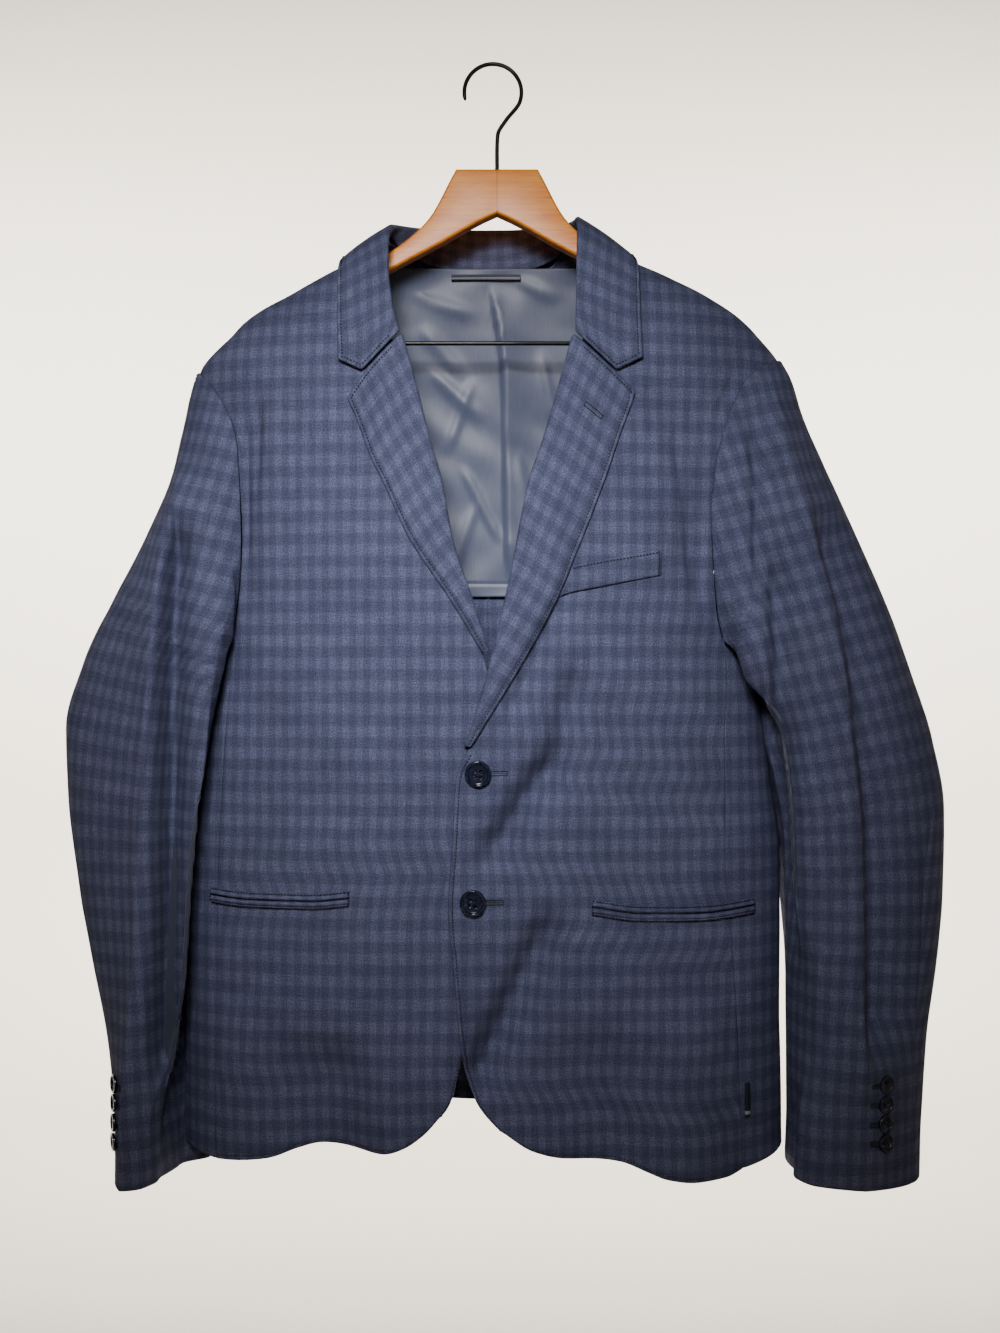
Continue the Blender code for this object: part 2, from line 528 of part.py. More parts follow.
def front_panel(name, near, armhole, seam, foot, hand):
    far = outer_edge(armhole, seam, hand)
    top_line = shoulder(near[0], far(0.0), hand)
    top_line[-1] = far(0.0)
    corner = np.asarray(foot, float)
    corner[-1] = far(1.0)
    grid = patch(path(top_line), path(corner), path(near), far, 34, 14, 1.55)
    x, z = grid[..., 0], grid[..., 1]
    points, normals = on_body(x, z, FRONT, lap_under(x) if hand < 0 else 0.0)
    points[..., 1] -= SEAM_GAP / 2
    return wall(name, points, normals, CLOTH, WOOL)


def vent_lift(x, z):
    """How far the left back lies off the body, where it laps the right one."""
    side = ease((0.014 - x) / 0.022)
    return (CLOTH + LAP_GAP) * side * ease((VENT_TOP_Z + 0.085 - z) / 0.035)


def back_panel(name, armhole, seam, hand):
    far = outer_edge(armhole, seam, hand)
    neck = NECK_RIGHT if hand < 0 else NECK_LEFT
    seam_line = shoulder(neck, far(0.0), hand)
    seam_line[-1] = far(0.0)
    middle = NECK_BACK[0] + hand * SEAM_GAP / 2
    collar_line = np.array([(middle, NECK_BACK[1]), (0.55 * neck[0] + 0.45 * middle, NECK_BACK[1] + 0.001)])
    near_z = np.linspace(NECK_BACK[1], HEM_BACK[1], 60)
    lap = VENT_LAP * ease((VENT_TOP_Z - near_z) / VENT_STEP) if hand > 0 else 0.0
    near = np.stack([np.full(60, middle) - lap, near_z], axis=1)
    foot = np.array([near[-1], (0.5 * (near[-1][0] + far(1.0)[0]), HEM_BACK[1]), far(1.0)])
    top = path(np.concatenate([collar_line, seam_line]))
    grid = patch(top, path(foot), path(near), far, 26, 12, 1.35)
    x, z = grid[..., 0], grid[..., 1]
    points, normals = on_body(x, z, BACK, vent_lift(x, z) if hand > 0 else 0.0)
    points[..., 1] += SEAM_GAP / 2
    return wall(name, points, normals, CLOTH, WOOL)


def side_top(front_seam, back_seam, low_z):
    """Height of the underarm, from the front seam at 0 to the back one at 1."""
    return smooth_curve((0.0, 0.45, 1.0), (front_seam[0][1], low_z, back_seam[0][1]))


def side_turn(front_seam, back_seam, z, u, hand, gap):
    front_x, back_x = seam_x(front_seam)(z), seam_x(back_seam)(z)
    first = turn_at(front_x + hand * gap, z, FRONT)[0]
    last = turn_at(back_x + hand * gap, z, BACK)[0]
    return first + (last - first) * u


def side_panel(name, front_seam, back_seam, low_z, hand):
    u = np.linspace(0, 1, 7)[None, :]
    v = np.linspace(0, 1, 18)[:, None] ** 1.2
    top = side_top(front_seam, back_seam, low_z)(u) - UNDERARM_EASE * 4 * u * (1 - u) - SEAM_GAP
    foot = (1 - u) * front_seam[-1][1] + u * back_seam[-1][1]
    z = (1 - v) * top + v * foot
    turn = side_turn(front_seam, back_seam, z, u, hand, SEAM_GAP / 2)
    points, normals = bag(turn, z, hand)
    return wall(name, points, normals, CLOTH, WOOL_DARK)


# ---------------------------------------------------------------- sleeves
def armhole_ring(front_armhole, back_armhole, front_seam, back_seam, low_z, hand):
    """The sleeve's upper edge in space: 0 at the shoulder's tip, half a turn at the
    lowest point of the underarm, reached over the front. It lies on the body's panels,
    but for the underarm, where it stands beside the side panel."""
    halves = []
    for side, armhole, u_from in ((FRONT, front_armhole, 0.0), (BACK, back_armhole, 1.0)):
        line = dense(armhole)
        over, over_normal = on_body(line[:, 0], line[:, 1], side)
        u = np.linspace(u_from, 0.45, 12)[1:]
        z = side_top(front_seam, back_seam, low_z)(u)
        under, under_normal = bag(side_turn(front_seam, back_seam, z, u, hand, 0.0), z, hand)
        points = np.concatenate([over, under])
        run = np.cumsum(np.linalg.norm(np.diff(points, axis=0, prepend=points[:1]), axis=1))
        proud = 2 * LAYER_GAP + CLOTH * ease((1 - run / run[-1]) / 0.3)
        halves.append(path(points + np.concatenate([over_normal, under_normal]) * proud[:, None]))

    def ring(angle):
        share = (np.asarray(angle) % (2 * math.pi)) / math.pi
        front = halves[0](np.clip(share, 0, 1))
        back = halves[1](np.clip(2 - share, 0, 1))
        return np.where((share <= 1)[..., None], front, back)

    return ring


def sleeve_ring(row, angle):
    """One ring of a sleeve, an upright oval between its outer and inner points."""
    out = np.array([row["out x"], row["out y"], row["out z"]])
    inside = np.array([row["in x"], row["in y"], row["in z"]])
    half = (out - inside) / 2
    fore = np.array([half[1], -half[0], 0.0])
    fore = -fore * np.sign(fore[1]) / np.linalg.norm(fore)
    cos, sin = np.cos(angle), np.sin(angle)
    deep = np.where(sin > 0, row["fore"], row["rear"])
    round_cos = np.sign(cos) * np.abs(cos) ** SLEEVE_OVAL
    return (out + inside) / 2 + half * round_cos[..., None] + fore * (deep * sin)[..., None]


def sleeve_grid(rows, angles, share, armhole):
    """Points of a sleeve at shares of its rows, for angles given row by row."""
    table = columns(rows, SLEEVE_COLUMNS)
    number = np.arange(len(rows))
    curves = {name: smooth_curve(number, table[name]) for name in SLEEVE_COLUMNS}
    first = {name: table[name][0] for name in SLEEVE_COLUMNS}
    grid = []
    for at, ring_angles in zip(share * (len(rows) - 1), angles):
        row = {name: float(curves[name](at)) for name in SLEEVE_COLUMNS}
        hold = 1 - ease(at / SLEEVE_HEAD)
        pull = armhole(ring_angles) - sleeve_ring(first, ring_angles)
        grid.append(sleeve_ring(row, ring_angles) + hold * pull)
    return np.array(grid)


def sleeve_seams(rows, share):
    table = columns(rows, SLEEVE_COLUMNS)
    number = np.arange(len(rows))
    return [np.radians(smooth_curve(number, table[name])(share * (len(rows) - 1)))
            for name in ("elbow", "inner")]


def sleeve(rows, armhole, side_name, hand):
    """Top and under sleeve, from the armhole to the cuff, each in its lengths."""
    share = np.linspace(0, 1, 20) ** 1.1
    elbow, inner = sleeve_seams(rows, share)
    for name, start, stop, cols in (("top", elbow, inner, 12), ("under", inner, elbow + 2 * math.pi, 11)):
        gap = SLEEVE_SEAM / SLEEVE_RADIUS
        u = np.linspace(0, 1, cols)[None, :]
        angles = (start + gap)[:, None] * (1 - u) + (stop - gap)[:, None] * u
        points = sleeve_grid(rows, angles, share, armhole)
        ahead = sleeve_grid(rows, angles + TURN_STEP, share, armhole)
        behind = sleeve_grid(rows, angles - TURN_STEP, share, armhole)
        lower = sleeve_grid(rows, angles, np.clip(share + TURN_STEP, 0, 1), armhole)
        upper = sleeve_grid(rows, angles, np.clip(share - TURN_STEP, 0, 1), armhole)
        normals = np.cross(ahead - behind, lower - upper) * hand
        normals = normals / np.linalg.norm(normals, axis=-1, keepdims=True)
        for length, first, last in SLEEVE_LENGTHS[side_name]:
            rings = points[first:last + 1].copy()
            if first:
                down = points[first + 1] - points[first]
                rings[0] += SEAM_GAP * down / np.linalg.norm(down, axis=-1, keepdims=True)
            wall(f"{name}_sleeve_{side_name}{length}", rings, normals[first:last + 1], CLOTH, WOOL)


# ---------------------------------------------------------------- collar and lapels
def collar():
    """Stand and leaf in one wall, bent over at the fold."""
    table = columns(COLLAR, COLLAR_COLUMNS)
    number = np.arange(len(COLLAR))
    at = np.linspace(0, len(COLLAR) - 1, 27)
    row = {name: smooth_curve(number, table[name])(at) for name in COLLAR_COLUMNS}
    fold, leaf, seam = (np.stack([row[f"{part} {axis}"] for axis in "xyz"], axis=1)
                        for part in ("fold", "leaf", "seam"))
    up = fold - (leaf + seam) / 2
    up = up / np.linalg.norm(up, axis=1, keepdims=True)
    over = leaf - seam
    over = over - up * np.sum(over * up, axis=1, keepdims=True)
    over = over / np.linalg.norm(over, axis=1, keepdims=True)
    middle = fold - up * FOLD_RADIUS
    sections = []
    for t in (0.0, 0.5):
        sections.append(seam + (middle - over * FOLD_RADIUS - seam) * t)
    for turn in np.radians((180, 135, 90, 45, 0)):
        sections.append(middle + FOLD_RADIUS * (over * math.cos(turn) + up * math.sin(turn)))
    for t in (0.3, 0.62, 0.85, 1.0):
        place = middle + over * FOLD_RADIUS + (leaf - middle - over * FOLD_RADIUS) * t
        place = place + over * LEAF_CROWN * math.sin(math.pi * t)
        place[:, 2] -= row["dip"] * math.sin(math.pi * t ** 1.35)
        sections.append(place)
    points = np.stack(sections, axis=1)
    normals = grid_normals(points)
    if np.dot(normals[len(at) // 2, 4], up[len(at) // 2]) < 0:
        normals = -normals
    wall("collar", points, normals, CLOTH, WOOL)


def lapel(name, roll, outer, gorge, hand):
    foot = path((roll[-1], outer[-1]))
    grid = patch(path(gorge), foot, path(roll), path(outer), 20, 6, 1.0)
    x, z = grid[..., 0], grid[..., 1]
    u = np.linspace(0, 1, 6)[None, :]
    v = np.linspace(0, 1, 20)[:, None]
    lift = CLOTH + 2 * LAYER_GAP + LAPEL_CROWN * np.sin(math.pi * (0.15 + 0.85 * u)) * (1 - 0.6 * v)
    points, normals = on_body(x, z, FRONT, lift + (lap_under(x) if hand < 0 else 0.0))
    wall(name, points, normals, CLOTH, WOOL)


# ---------------------------------------------------------------- pockets and trims
def strip(name, corners, rows, cols, side, lift, thick, colour):
    """A flat trim on the body between four corners: upper and lower edges."""
    top_near, top_far, foot_near, foot_far = corners
    grid = patch(path((top_near, top_far)), path((foot_near, foot_far)),
                 path((top_near, foot_near)), path((top_far, foot_far)), rows, cols)
    points, normals = on_body(grid[..., 0], grid[..., 1], side, lift)
    wall(name, points, normals, thick, colour)


def hip_pocket(side_name, line):
    line = path(line)(np.linspace(0, 1, 13))
    for name, above in (("upper", 1), ("lower", -1)):
        first = line + np.array([0, above * SEAM_GAP / 2])
        last = first + np.array([0, above * HIP_WELT])
        grid = np.stack([first, last], axis=0)
        lift = 2 * LAYER_GAP + WELT + lap_under(grid[..., 0]) * (grid[..., 0] < 0)
        points, normals = on_body(grid[..., 0], grid[..., 1], FRONT, lift)
        wall(f"hip_welt_{name}_{side_name}", points, normals, WELT, WOOL_DARK)


def button(name, place, facing, wide, sides):
    """A turned button with a rim round its face, its back on its place."""
    radius = wide / 2
    profile = ((0.72, 0.0), (0.97, 0.28), (1.0, 0.55), (0.93, 1.0), (0.76, 1.0), (0.68, 0.72))
    facing = facing / np.linalg.norm(facing)
    first = np.cross(facing, (0, 0, 1))
    first = first / np.linalg.norm(first)
    second = np.cross(facing, first)
    turns = np.linspace(0, 2 * math.pi, sides, endpoint=False)
    verts = [place]
    for out, up in profile:
        for turn in turns:
            spoke = first * math.cos(turn) + second * math.sin(turn)
            verts.append(place + spoke * out * radius + facing * up * BUTTON_THICK * wide / BUTTON_FRONT)
    verts.append(place + facing * profile[-1][1] * BUTTON_THICK * wide / BUTTON_FRONT)
    faces = []
    for k in range(sides):
        after = (k + 1) % sides
        faces.append((0, 1 + after, 1 + k))
        for ring in range(len(profile) - 1):
            a = 1 + ring * sides
            faces.append((a + k, a + after, a + sides + after, a + sides + k))
        last = 1 + (len(profile) - 1) * sides
        faces.append((last + k, last + after, len(verts) - 1))
    return finish(name, (0.012, 0.013, 0.025), 0.18, 0.0, verts, faces)


def cuff_buttons(rows, armhole, side_name, hand):
    angle = math.radians(CUFF_BUTTON_ANGLE[side_name])
    shares = np.linspace(0.7, 1, 120)
    angles = np.full((120, 1), angle)
    track = sleeve_grid(rows, angles, shares, armhole)[:, 0]
    beside = sleeve_grid(rows, angles + TURN_STEP, shares, armhole)[:, 0]
    for k in range(CUFF_BUTTONS):
        z = CUFF_BUTTON_Z - k * CUFF_PITCH
        nearest = int(np.argmin(np.abs(track[:, 2] - z)))
        facing = np.cross(beside[nearest] - track[nearest], track[nearest + 1] - track[nearest]) * hand
        facing = facing / np.linalg.norm(facing)
        button(f"cuff_button_{side_name}_{k + 1}", track[nearest] + facing * LAYER_GAP, facing,
               BUTTON_CUFF, 10)


# ---------------------------------------------------------------- hanger
def hanger():
    outline = list(WOOD_TOP) + list(WOOD_UNDER)
    outline += [(-x, z) for x, z in reversed(outline) if x > 0]
    mesh = bmesh.new()
    face = mesh.faces.new([mesh.verts.new((x, -WOOD_THICK / 2, z)) for x, z in outline])
    made = bmesh.ops.extrude_face_region(mesh, geom=[face])
    moved = [item for item in made["geom"] if isinstance(item, bmesh.types.BMVert)]
    bmesh.ops.translate(mesh, vec=(0, WOOD_THICK, 0), verts=moved)
    rim = [edge for edge in mesh.edges if abs(edge.verts[0].co.y - edge.verts[1].co.y) < 1e-6]
    bmesh.ops.bevel(mesh, geom=rim, offset=WOOD_EDGE, segments=2, profile=0.5, affect="EDGES")
    bmesh.ops.triangulate(mesh, faces=[f for f in mesh.faces if len(f.verts) > 4])
    bmesh.ops.recalc_face_normals(mesh, faces=mesh.faces)
    verts = [tuple(v.co) for v in mesh.verts]
    faces = [tuple(v.index for v in f.verts) for f in mesh.faces]
    mesh.free()
    finish("hanger_wood", (0.75, 0.38, 0.14), 0.45, 0.0, verts, faces)

    rod("hanger_bar", [(-BAR_HALF, 0, BAR_Z), (BAR_HALF, 0, BAR_Z)], BAR, 3)
    turns = np.radians(np.linspace(HOOK_START_TURN, HOOK_TIP_TURN, 20))
    arc = [(HOOK_MIDDLE[0] + HOOK_RADIUS * math.cos(turn), 0.0,
            HOOK_MIDDLE[1] + HOOK_RADIUS * math.sin(turn)) for turn in turns]
    stem = [(x, 0.0, z) for x, z in HOOK_STEM]
    rod("hanger_hook", [tuple(p) for p in path(stem + arc)(np.linspace(0, 1, 30))], WIRE, 2)


def rod(name, points, wide, resolution):
    curve = bpy.data.curves.new(name, "CURVE")
    curve.dimensions = "3D"
    spline = curve.splines.new("POLY")
    spline.points.add(len(points) - 1)
    for point, place in zip(spline.points, points):
        point.co = (*place, 1.0)
    curve.bevel_depth = wide / 2
    curve.bevel_resolution = resolution
    curve.use_fill_caps = True
    paint = bpy.data.materials.new(name)
    paint.use_nodes = True
    shader = paint.node_tree.nodes["Principled BSDF"]
    shader.inputs["Base Color"].default_value = (0.02, 0.02, 0.02, 1.0)
    shader.inputs["Roughness"].default_value = 0.35
    shader.inputs["Metallic"].default_value = 0.8
    curve.materials.append(paint)
    thing = bpy.data.objects.new(name, curve)
    bpy.context.scene.collection.objects.link(thing)


# ---------------------------------------------------------------- the garment
def build():
    for thing in list(bpy.data.objects):
        bpy.data.objects.remove(thing, do_unlink=True)

    front_panel("front_right", FRONT_EDGE_RIGHT, ARMHOLE_FRONT_RIGHT, SEAM_FRONT_RIGHT, HEM_RIGHT, -1)
    front_panel("front_left", FRONT_EDGE_LEFT, ARMHOLE_FRONT_LEFT, SEAM_FRONT_LEFT, HEM_LEFT, 1)
    back_panel("back_right", ARMHOLE_BACK_RIGHT, SEAM_BACK_RIGHT, -1)
    back_panel("back_left", ARMHOLE_BACK_LEFT, SEAM_BACK_LEFT, 1)
    side_panel("side_right", SEAM_FRONT_RIGHT, SEAM_BACK_RIGHT, UNDERARM_RIGHT_Z, -1)
    side_panel("side_left", SEAM_FRONT_LEFT, SEAM_BACK_LEFT, UNDERARM_LEFT_Z, 1)
    right_hole = armhole_ring(ARMHOLE_FRONT_RIGHT, ARMHOLE_BACK_RIGHT, SEAM_FRONT_RIGHT,
                              SEAM_BACK_RIGHT, UNDERARM_RIGHT_Z, -1)
    left_hole = armhole_ring(ARMHOLE_FRONT_LEFT, ARMHOLE_BACK_LEFT, SEAM_FRONT_LEFT,
                             SEAM_BACK_LEFT, UNDERARM_LEFT_Z, 1)
    sleeve(SLEEVE_RIGHT, right_hole, "right", -1)
    sleeve(SLEEVE_LEFT, left_hole, "left", 1)

    collar()
    lapel("lapel_right", ROLL_RIGHT, LAPEL_RIGHT, GORGE_RIGHT, -1)
    lapel("lapel_left", ROLL_LEFT, LAPEL_LEFT, GORGE_LEFT, 1)
    strip("breast_welt", BREAST_WELT, 3, 8, FRONT, 2 * LAYER_GAP + WELT, WELT, WOOL)
    hip_pocket("right", HIP_RIGHT)
    hip_pocket("left", HIP_LEFT)
    lining_depth = CLOTH + LINING_GAP
    strip("back_lining", LINING_SHOWN, 13, 11, BACK, -lining_depth, LINING_THICK, LINING)
    loop = ((LOOP[0], LOOP[2] + LOOP_HIGH), (LOOP[1], LOOP[2] + LOOP_HIGH),
            (LOOP[0], LOOP[2]), (LOOP[1], LOOP[2]))
    loop_depth = lining_depth + LINING_THICK + LAYER_GAP
    strip("hanger_loop", loop, 2, 7, BACK, -loop_depth, LINING_THICK, LINING)
    tab = ((TAB[0], TAB[2]), (TAB[1], TAB[2]), (TAB[0], TAB[3]), (TAB[1], TAB[3]))
    strip("side_tab", tab, 4, 2, FRONT, LAYER_GAP + TAB_THICK, TAB_THICK, WOOL_DARK)
    for name, (x, z) in zip(("top", "low"), BUTTONS_FRONT):
        place, facing = on_body(x, z, FRONT, LAYER_GAP)
        button(f"button_front_{name}", place, facing, BUTTON_FRONT, 20)
    cuff_buttons(SLEEVE_RIGHT, right_hole, "right", -1)
    cuff_buttons(SLEEVE_LEFT, left_hole, "left", 1)
    hanger()


build()
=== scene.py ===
# A men's single breasted blazer in navy tonal check, on a flat wooden hanger.
# Metres, +Z up, its front towards -Y and the wearer's left towards +X. The long tables are in millimetres.

import math

import bmesh
import bpy
import numpy as np
from mathutils import Matrix, Vector


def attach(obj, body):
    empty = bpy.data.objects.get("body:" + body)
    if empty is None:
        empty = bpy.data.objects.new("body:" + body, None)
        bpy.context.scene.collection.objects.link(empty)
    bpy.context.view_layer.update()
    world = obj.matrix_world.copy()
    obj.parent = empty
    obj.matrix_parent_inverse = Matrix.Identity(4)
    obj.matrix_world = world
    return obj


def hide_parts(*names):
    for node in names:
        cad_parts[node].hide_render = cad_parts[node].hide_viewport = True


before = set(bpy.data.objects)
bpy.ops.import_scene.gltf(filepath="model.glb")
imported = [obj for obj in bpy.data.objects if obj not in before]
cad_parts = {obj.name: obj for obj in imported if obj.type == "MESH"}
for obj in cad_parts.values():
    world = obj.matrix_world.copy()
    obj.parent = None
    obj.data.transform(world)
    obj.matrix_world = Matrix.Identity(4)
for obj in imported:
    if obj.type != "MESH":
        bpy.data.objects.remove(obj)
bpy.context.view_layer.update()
print("stage: frame loaded")


def metres(table):   # a table's millimetres
    return np.array(table, float) / 1000


def bothSides(right, left):
    return {"right": metres(right), "left": metres(left)}


def smoothCurve(knots, values):   # passes through a table's rows and never overshoots
    knots, values = np.asarray(knots, float), np.asarray(values, float)
    steps = np.diff(knots)
    slopes = np.diff(values) / steps
    before, after = slopes[:-1], slopes[1:]
    middle = 2 * before * after / np.where(before * after > 0, before + after, np.inf)
    tangents = np.concatenate([slopes[:1], middle, slopes[-1:]])

    def value(at):
        at = np.clip(at, knots[0], knots[-1])
        k = np.clip(np.searchsorted(knots, at) - 1, 0, len(steps) - 1)
        t = (at - knots[k]) / steps[k]
        hold = (1 + 2 * t) * (1 - t) ** 2 * values[k] + t * t * (3 - 2 * t) * values[k + 1]
        return hold + (t * (1 - t) ** 2 * tangents[k] - t * t * (1 - t) * tangents[k + 1]) * steps[k]

    return value


def runAlong(points, axis=0):   # lengths from the start, down the columns or along the rows
    first = np.take(points, [0], axis=axis)
    return np.cumsum(np.linalg.norm(np.diff(points, axis=axis, prepend=first), axis=-1), axis=axis)


def pathThrough(points):   # a smooth path, as a function of 0 to 1 by its length
    points = np.asarray(points, float)
    run = runAlong(points)
    parts = [smoothCurve(run / run[-1], part) for part in points.T]
    return lambda at: np.stack([part(at) for part in parts], axis=-1)


def lineX(line):   # a line down the garment, as x at each z
    return smoothCurve(line[::-1, 1], line[::-1, 0])


def ease(t):
    t = np.clip(t, 0.0, 1.0)
    return t * t * (3 - 2 * t)


def bell(t, power=2):
    return np.exp(-np.abs(t) ** power)


def unit(vectors):
    return vectors / np.linalg.norm(vectors, axis=-1, keepdims=True)


def gathered(count, pull=0.55):   # 0 to 1, its steps finer at both ends for hems and stitching
    t = np.linspace(0, 1, count + 1)
    return t - pull * np.sin(2 * math.pi * t) / (2 * math.pi)


def colour(text):   # an sRGB hex value as linear light
    parts = [int(text[k:k + 2], 16) / 255 for k in (1, 3, 5)]
    return (*(c / 12.92 if c <= 0.04045 else ((c + 0.055) / 1.055) ** 2.4 for c in parts), 1.0)


def setUp(tree, node, settings):   # values, options and links, by input or option name
    for name, value in settings.items():
        if isinstance(name, str) and name not in node.inputs:
            setattr(node, name, value)
        elif isinstance(value, bpy.types.NodeSocket):
            tree.links.new(value, node.inputs[name])
        else:
            node.inputs[name].default_value = value


def addNode(tree, kind, settings=None, out=0):   # gives one of its outputs, or all of them for None
    node = tree.nodes.new("ShaderNode" + kind)
    setUp(tree, node, settings or {})
    return node.outputs if out is None else node.outputs[out]


def calc(tree, operation, *terms):
    return addNode(tree, "Math", {"operation": operation, **dict(enumerate(terms))})


def remap(tree, value, low, high, toLow=0.0, toHigh=1.0, kind="LINEAR"):
    return addNode(tree, "MapRange", {"interpolation_type": kind, "Value": value, "From Min": low,
                                      "From Max": high, "To Min": toLow, "To Max": toHigh})


def blend(tree, share, first, second):
    return addNode(tree, "Mix", {"data_type": "RGBA", 0: share, 6: colour(first), 7: colour(second)}, 2)


noiseSpan = (0.3, 0.7)          # most of a noise lies between these


def noise(tree, place, scale, detail):
    return addNode(tree, "TexNoise", {"Vector": place, "Scale": scale, "Detail": detail})


def newMaterial(name):
    material = bpy.data.materials.new(name)
    material.use_nodes = True
    return material, material.node_tree, material.node_tree.nodes["Principled BSDF"]


def plainMaterial(name, base, roughness, metallic=0.0, coat=0.0):
    material, tree, shader = newMaterial(name)
    setUp(tree, shader, {"Base Color": colour(base), "Roughness": roughness, "Metallic": metallic,
                         "Coat Weight": coat})
    return material, tree, shader


def addObject(name, data):
    thing = bpy.data.objects.new(name, data)
    bpy.context.scene.collection.objects.link(thing)
    return thing


def meshObject(name, shape, material):   # a finished bmesh as an object with its material
    mesh = bpy.data.meshes.new(name)
    shape.to_mesh(mesh)
    shape.free()
    mesh.materials.append(material)
    mesh.shade_smooth()
    return addObject(name, mesh)


def settle(piece, slot, *nodes):
    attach(piece, "root")
    if nodes:
        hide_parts(*nodes)


def turnedShape(profile, steps):   # radii and heights, spun round the Z axis
    shape = bmesh.new()
    verts = [shape.verts.new((radius, 0, up)) for radius, up in profile]
    edges = [shape.edges.new(pair) for pair in zip(verts, verts[1:])]
    bmesh.ops.spin(shape, geom=verts + edges, cent=(0, 0, 0), axis=(0, 0, 1), angle=2 * math.pi,
                   steps=steps, use_merge=True)
    bmesh.ops.remove_doubles(shape, verts=shape.verts, dist=1e-6)
    bmesh.ops.recalc_face_normals(shape, faces=shape.faces)
    return shape


def tube(name, line, radius, material, slot, *nodes, closed=False, resolution=2):   # a round thread or wire
    curve = bpy.data.curves.new(name, "CURVE")
    curve.dimensions = "3D"
    spline = curve.splines.new("POLY")
    spline.points.add(len(line) - 1)
    spline.use_cyclic_u = closed
    for point, place, wide in zip(spline.points, line, np.broadcast_to(radius, len(line))):
        point.co = (*map(float, place), 1.0)
        point.radius = float(wide)
    curve.bevel_depth = 1.0
    curve.bevel_resolution = resolution
    curve.use_fill_caps = not closed
    drawn = bpy.data.objects.new(name + " line", curve)
    mesh = bpy.data.meshes.new_from_object(drawn)
    bpy.data.objects.remove(drawn)
    bpy.data.curves.remove(curve)
    mesh.name = name
    mesh.materials.clear()
    mesh.materials.append(material)
    mesh.shade_smooth()
    settle(addObject(name, mesh), slot, *nodes)


wool = {
    "stripePitch": 0.01125,     # m, from one light warp stripe to the next
    "bandPitch": 0.0181,        # m, from one light weft band to the next
    "edgeBlur": 0.55,           # of a stripe, how softly it starts
    "ground": "#20243e", "light": "#6e7497",
    "base": 0.27,               # how light the ground between stripes and bands is
    "stripe": 0.105, "band": 0.115, "crossing": 0.05,
    "grain": 0.0011,            # m, mixed fibres; really 0.5 mm, coarser here to show
    "yarn": 0.0012,             # m, across a yarn of another shade; really 0.6 mm
    "slub": 0.016,              # m, how long such a yarn keeps its shade
    "twill": 0.0021,            # m, one diagonal rib; really 0.7 mm
    "ragged": 0.0012,           # m, how far a stripe's edge wanders
    "patch": 26.0,              # large soft patches, lighter and darker, to a metre
    "shades": (0.84, 1.16), "specks": (0.32, 1.72), "grainSpan": (0.33, 0.67),
    "ribHigh": 0.14, "relief": 0.0004,
}


def woolCheck(name, stripeShift=0.0, bandShift=0.0):
    # worsted wool, twill woven from mixed yarn: a matt cloth with a faint bloom at grazing angles
    material, tree, shader = newMaterial(name)
    place = addNode(tree, "UVMap", {"uv_map": "cloth"})
    grain = addNode(tree, "TexNoise", {"Scale": 1 / wool["grain"], "Detail": 3.0, "Roughness": 0.7,
                                       "Vector": place}, None)
    wander = addNode(tree, "VectorMath", {"operation": "SUBTRACT", 0: grain["Color"], 1: (0.5, 0.5, 0.5)})
    moved = addNode(tree, "VectorMath", {"operation": "MULTIPLY_ADD", 0: wander, 2: place,
                                         1: [wool["ragged"]] * 3})
    axes = addNode(tree, "SeparateXYZ", {0: moved}, None)
    waves, turn = [], 2 * math.pi
    for axis, pitch, shift in zip(axes, ("stripePitch", "bandPitch"), (stripeShift, bandShift)):
        wave = calc(tree, "SINE", calc(tree, "MULTIPLY_ADD", axis, turn / wool[pitch], shift * turn))
        waves.append(remap(tree, wave, -wool["edgeBlur"], wool["edgeBlur"], kind="SMOOTHSTEP"))
    level = calc(tree, "MULTIPLY_ADD", waves[0], wool["stripe"], wool["base"])
    level = calc(tree, "MULTIPLY_ADD", waves[1], wool["band"], level)
    level = calc(tree, "MULTIPLY_ADD", calc(tree, "MULTIPLY", *waves), wool["crossing"], level)
    factors = [remap(tree, grain[0], *wool["grainSpan"], *wool["specks"]),
               remap(tree, noise(tree, place, wool["patch"], 3.0), *noiseSpan, *wool["shades"])]
    for sizes in ((wool["yarn"], wool["slub"]), (wool["slub"], wool["yarn"])):
        drawn = addNode(tree, "Mapping", {0: place, "Scale": (1 / sizes[0], 1 / sizes[1], 1)})
        factors.append(remap(tree, noise(tree, drawn, 1.0, 2.0), *noiseSpan, *wool["shades"]))
    for factor in factors:
        level = calc(tree, "MULTIPLY", level, factor)
    level.node.use_clamp = True
    flat = addNode(tree, "SeparateXYZ", {0: place}, None)
    slant = calc(tree, "MULTIPLY", calc(tree, "ADD", flat[0], flat[1]), turn / wool["twill"])
    relief = calc(tree, "MULTIPLY_ADD", calc(tree, "SINE", slant), wool["ribHigh"], grain[0])
    setUp(tree, shader, {
        "Base Color": blend(tree, level, wool["ground"], wool["light"]),
        "Normal": addNode(tree, "Bump", {"Strength": 0.5, "Distance": wool["relief"], "Height": relief}),
        "Roughness": 0.84, "IOR": 1.45, "Specular IOR Level": 0.25,
        "Sheen Weight": 0.03, "Sheen Roughness": 0.4, "Sheen Tint": colour("#aab4dc")})
    return material


satin = {"base": "#545c76", "thread": 0.0016, "roughness": 0.44, "streaks": (0.92, 1.06)}


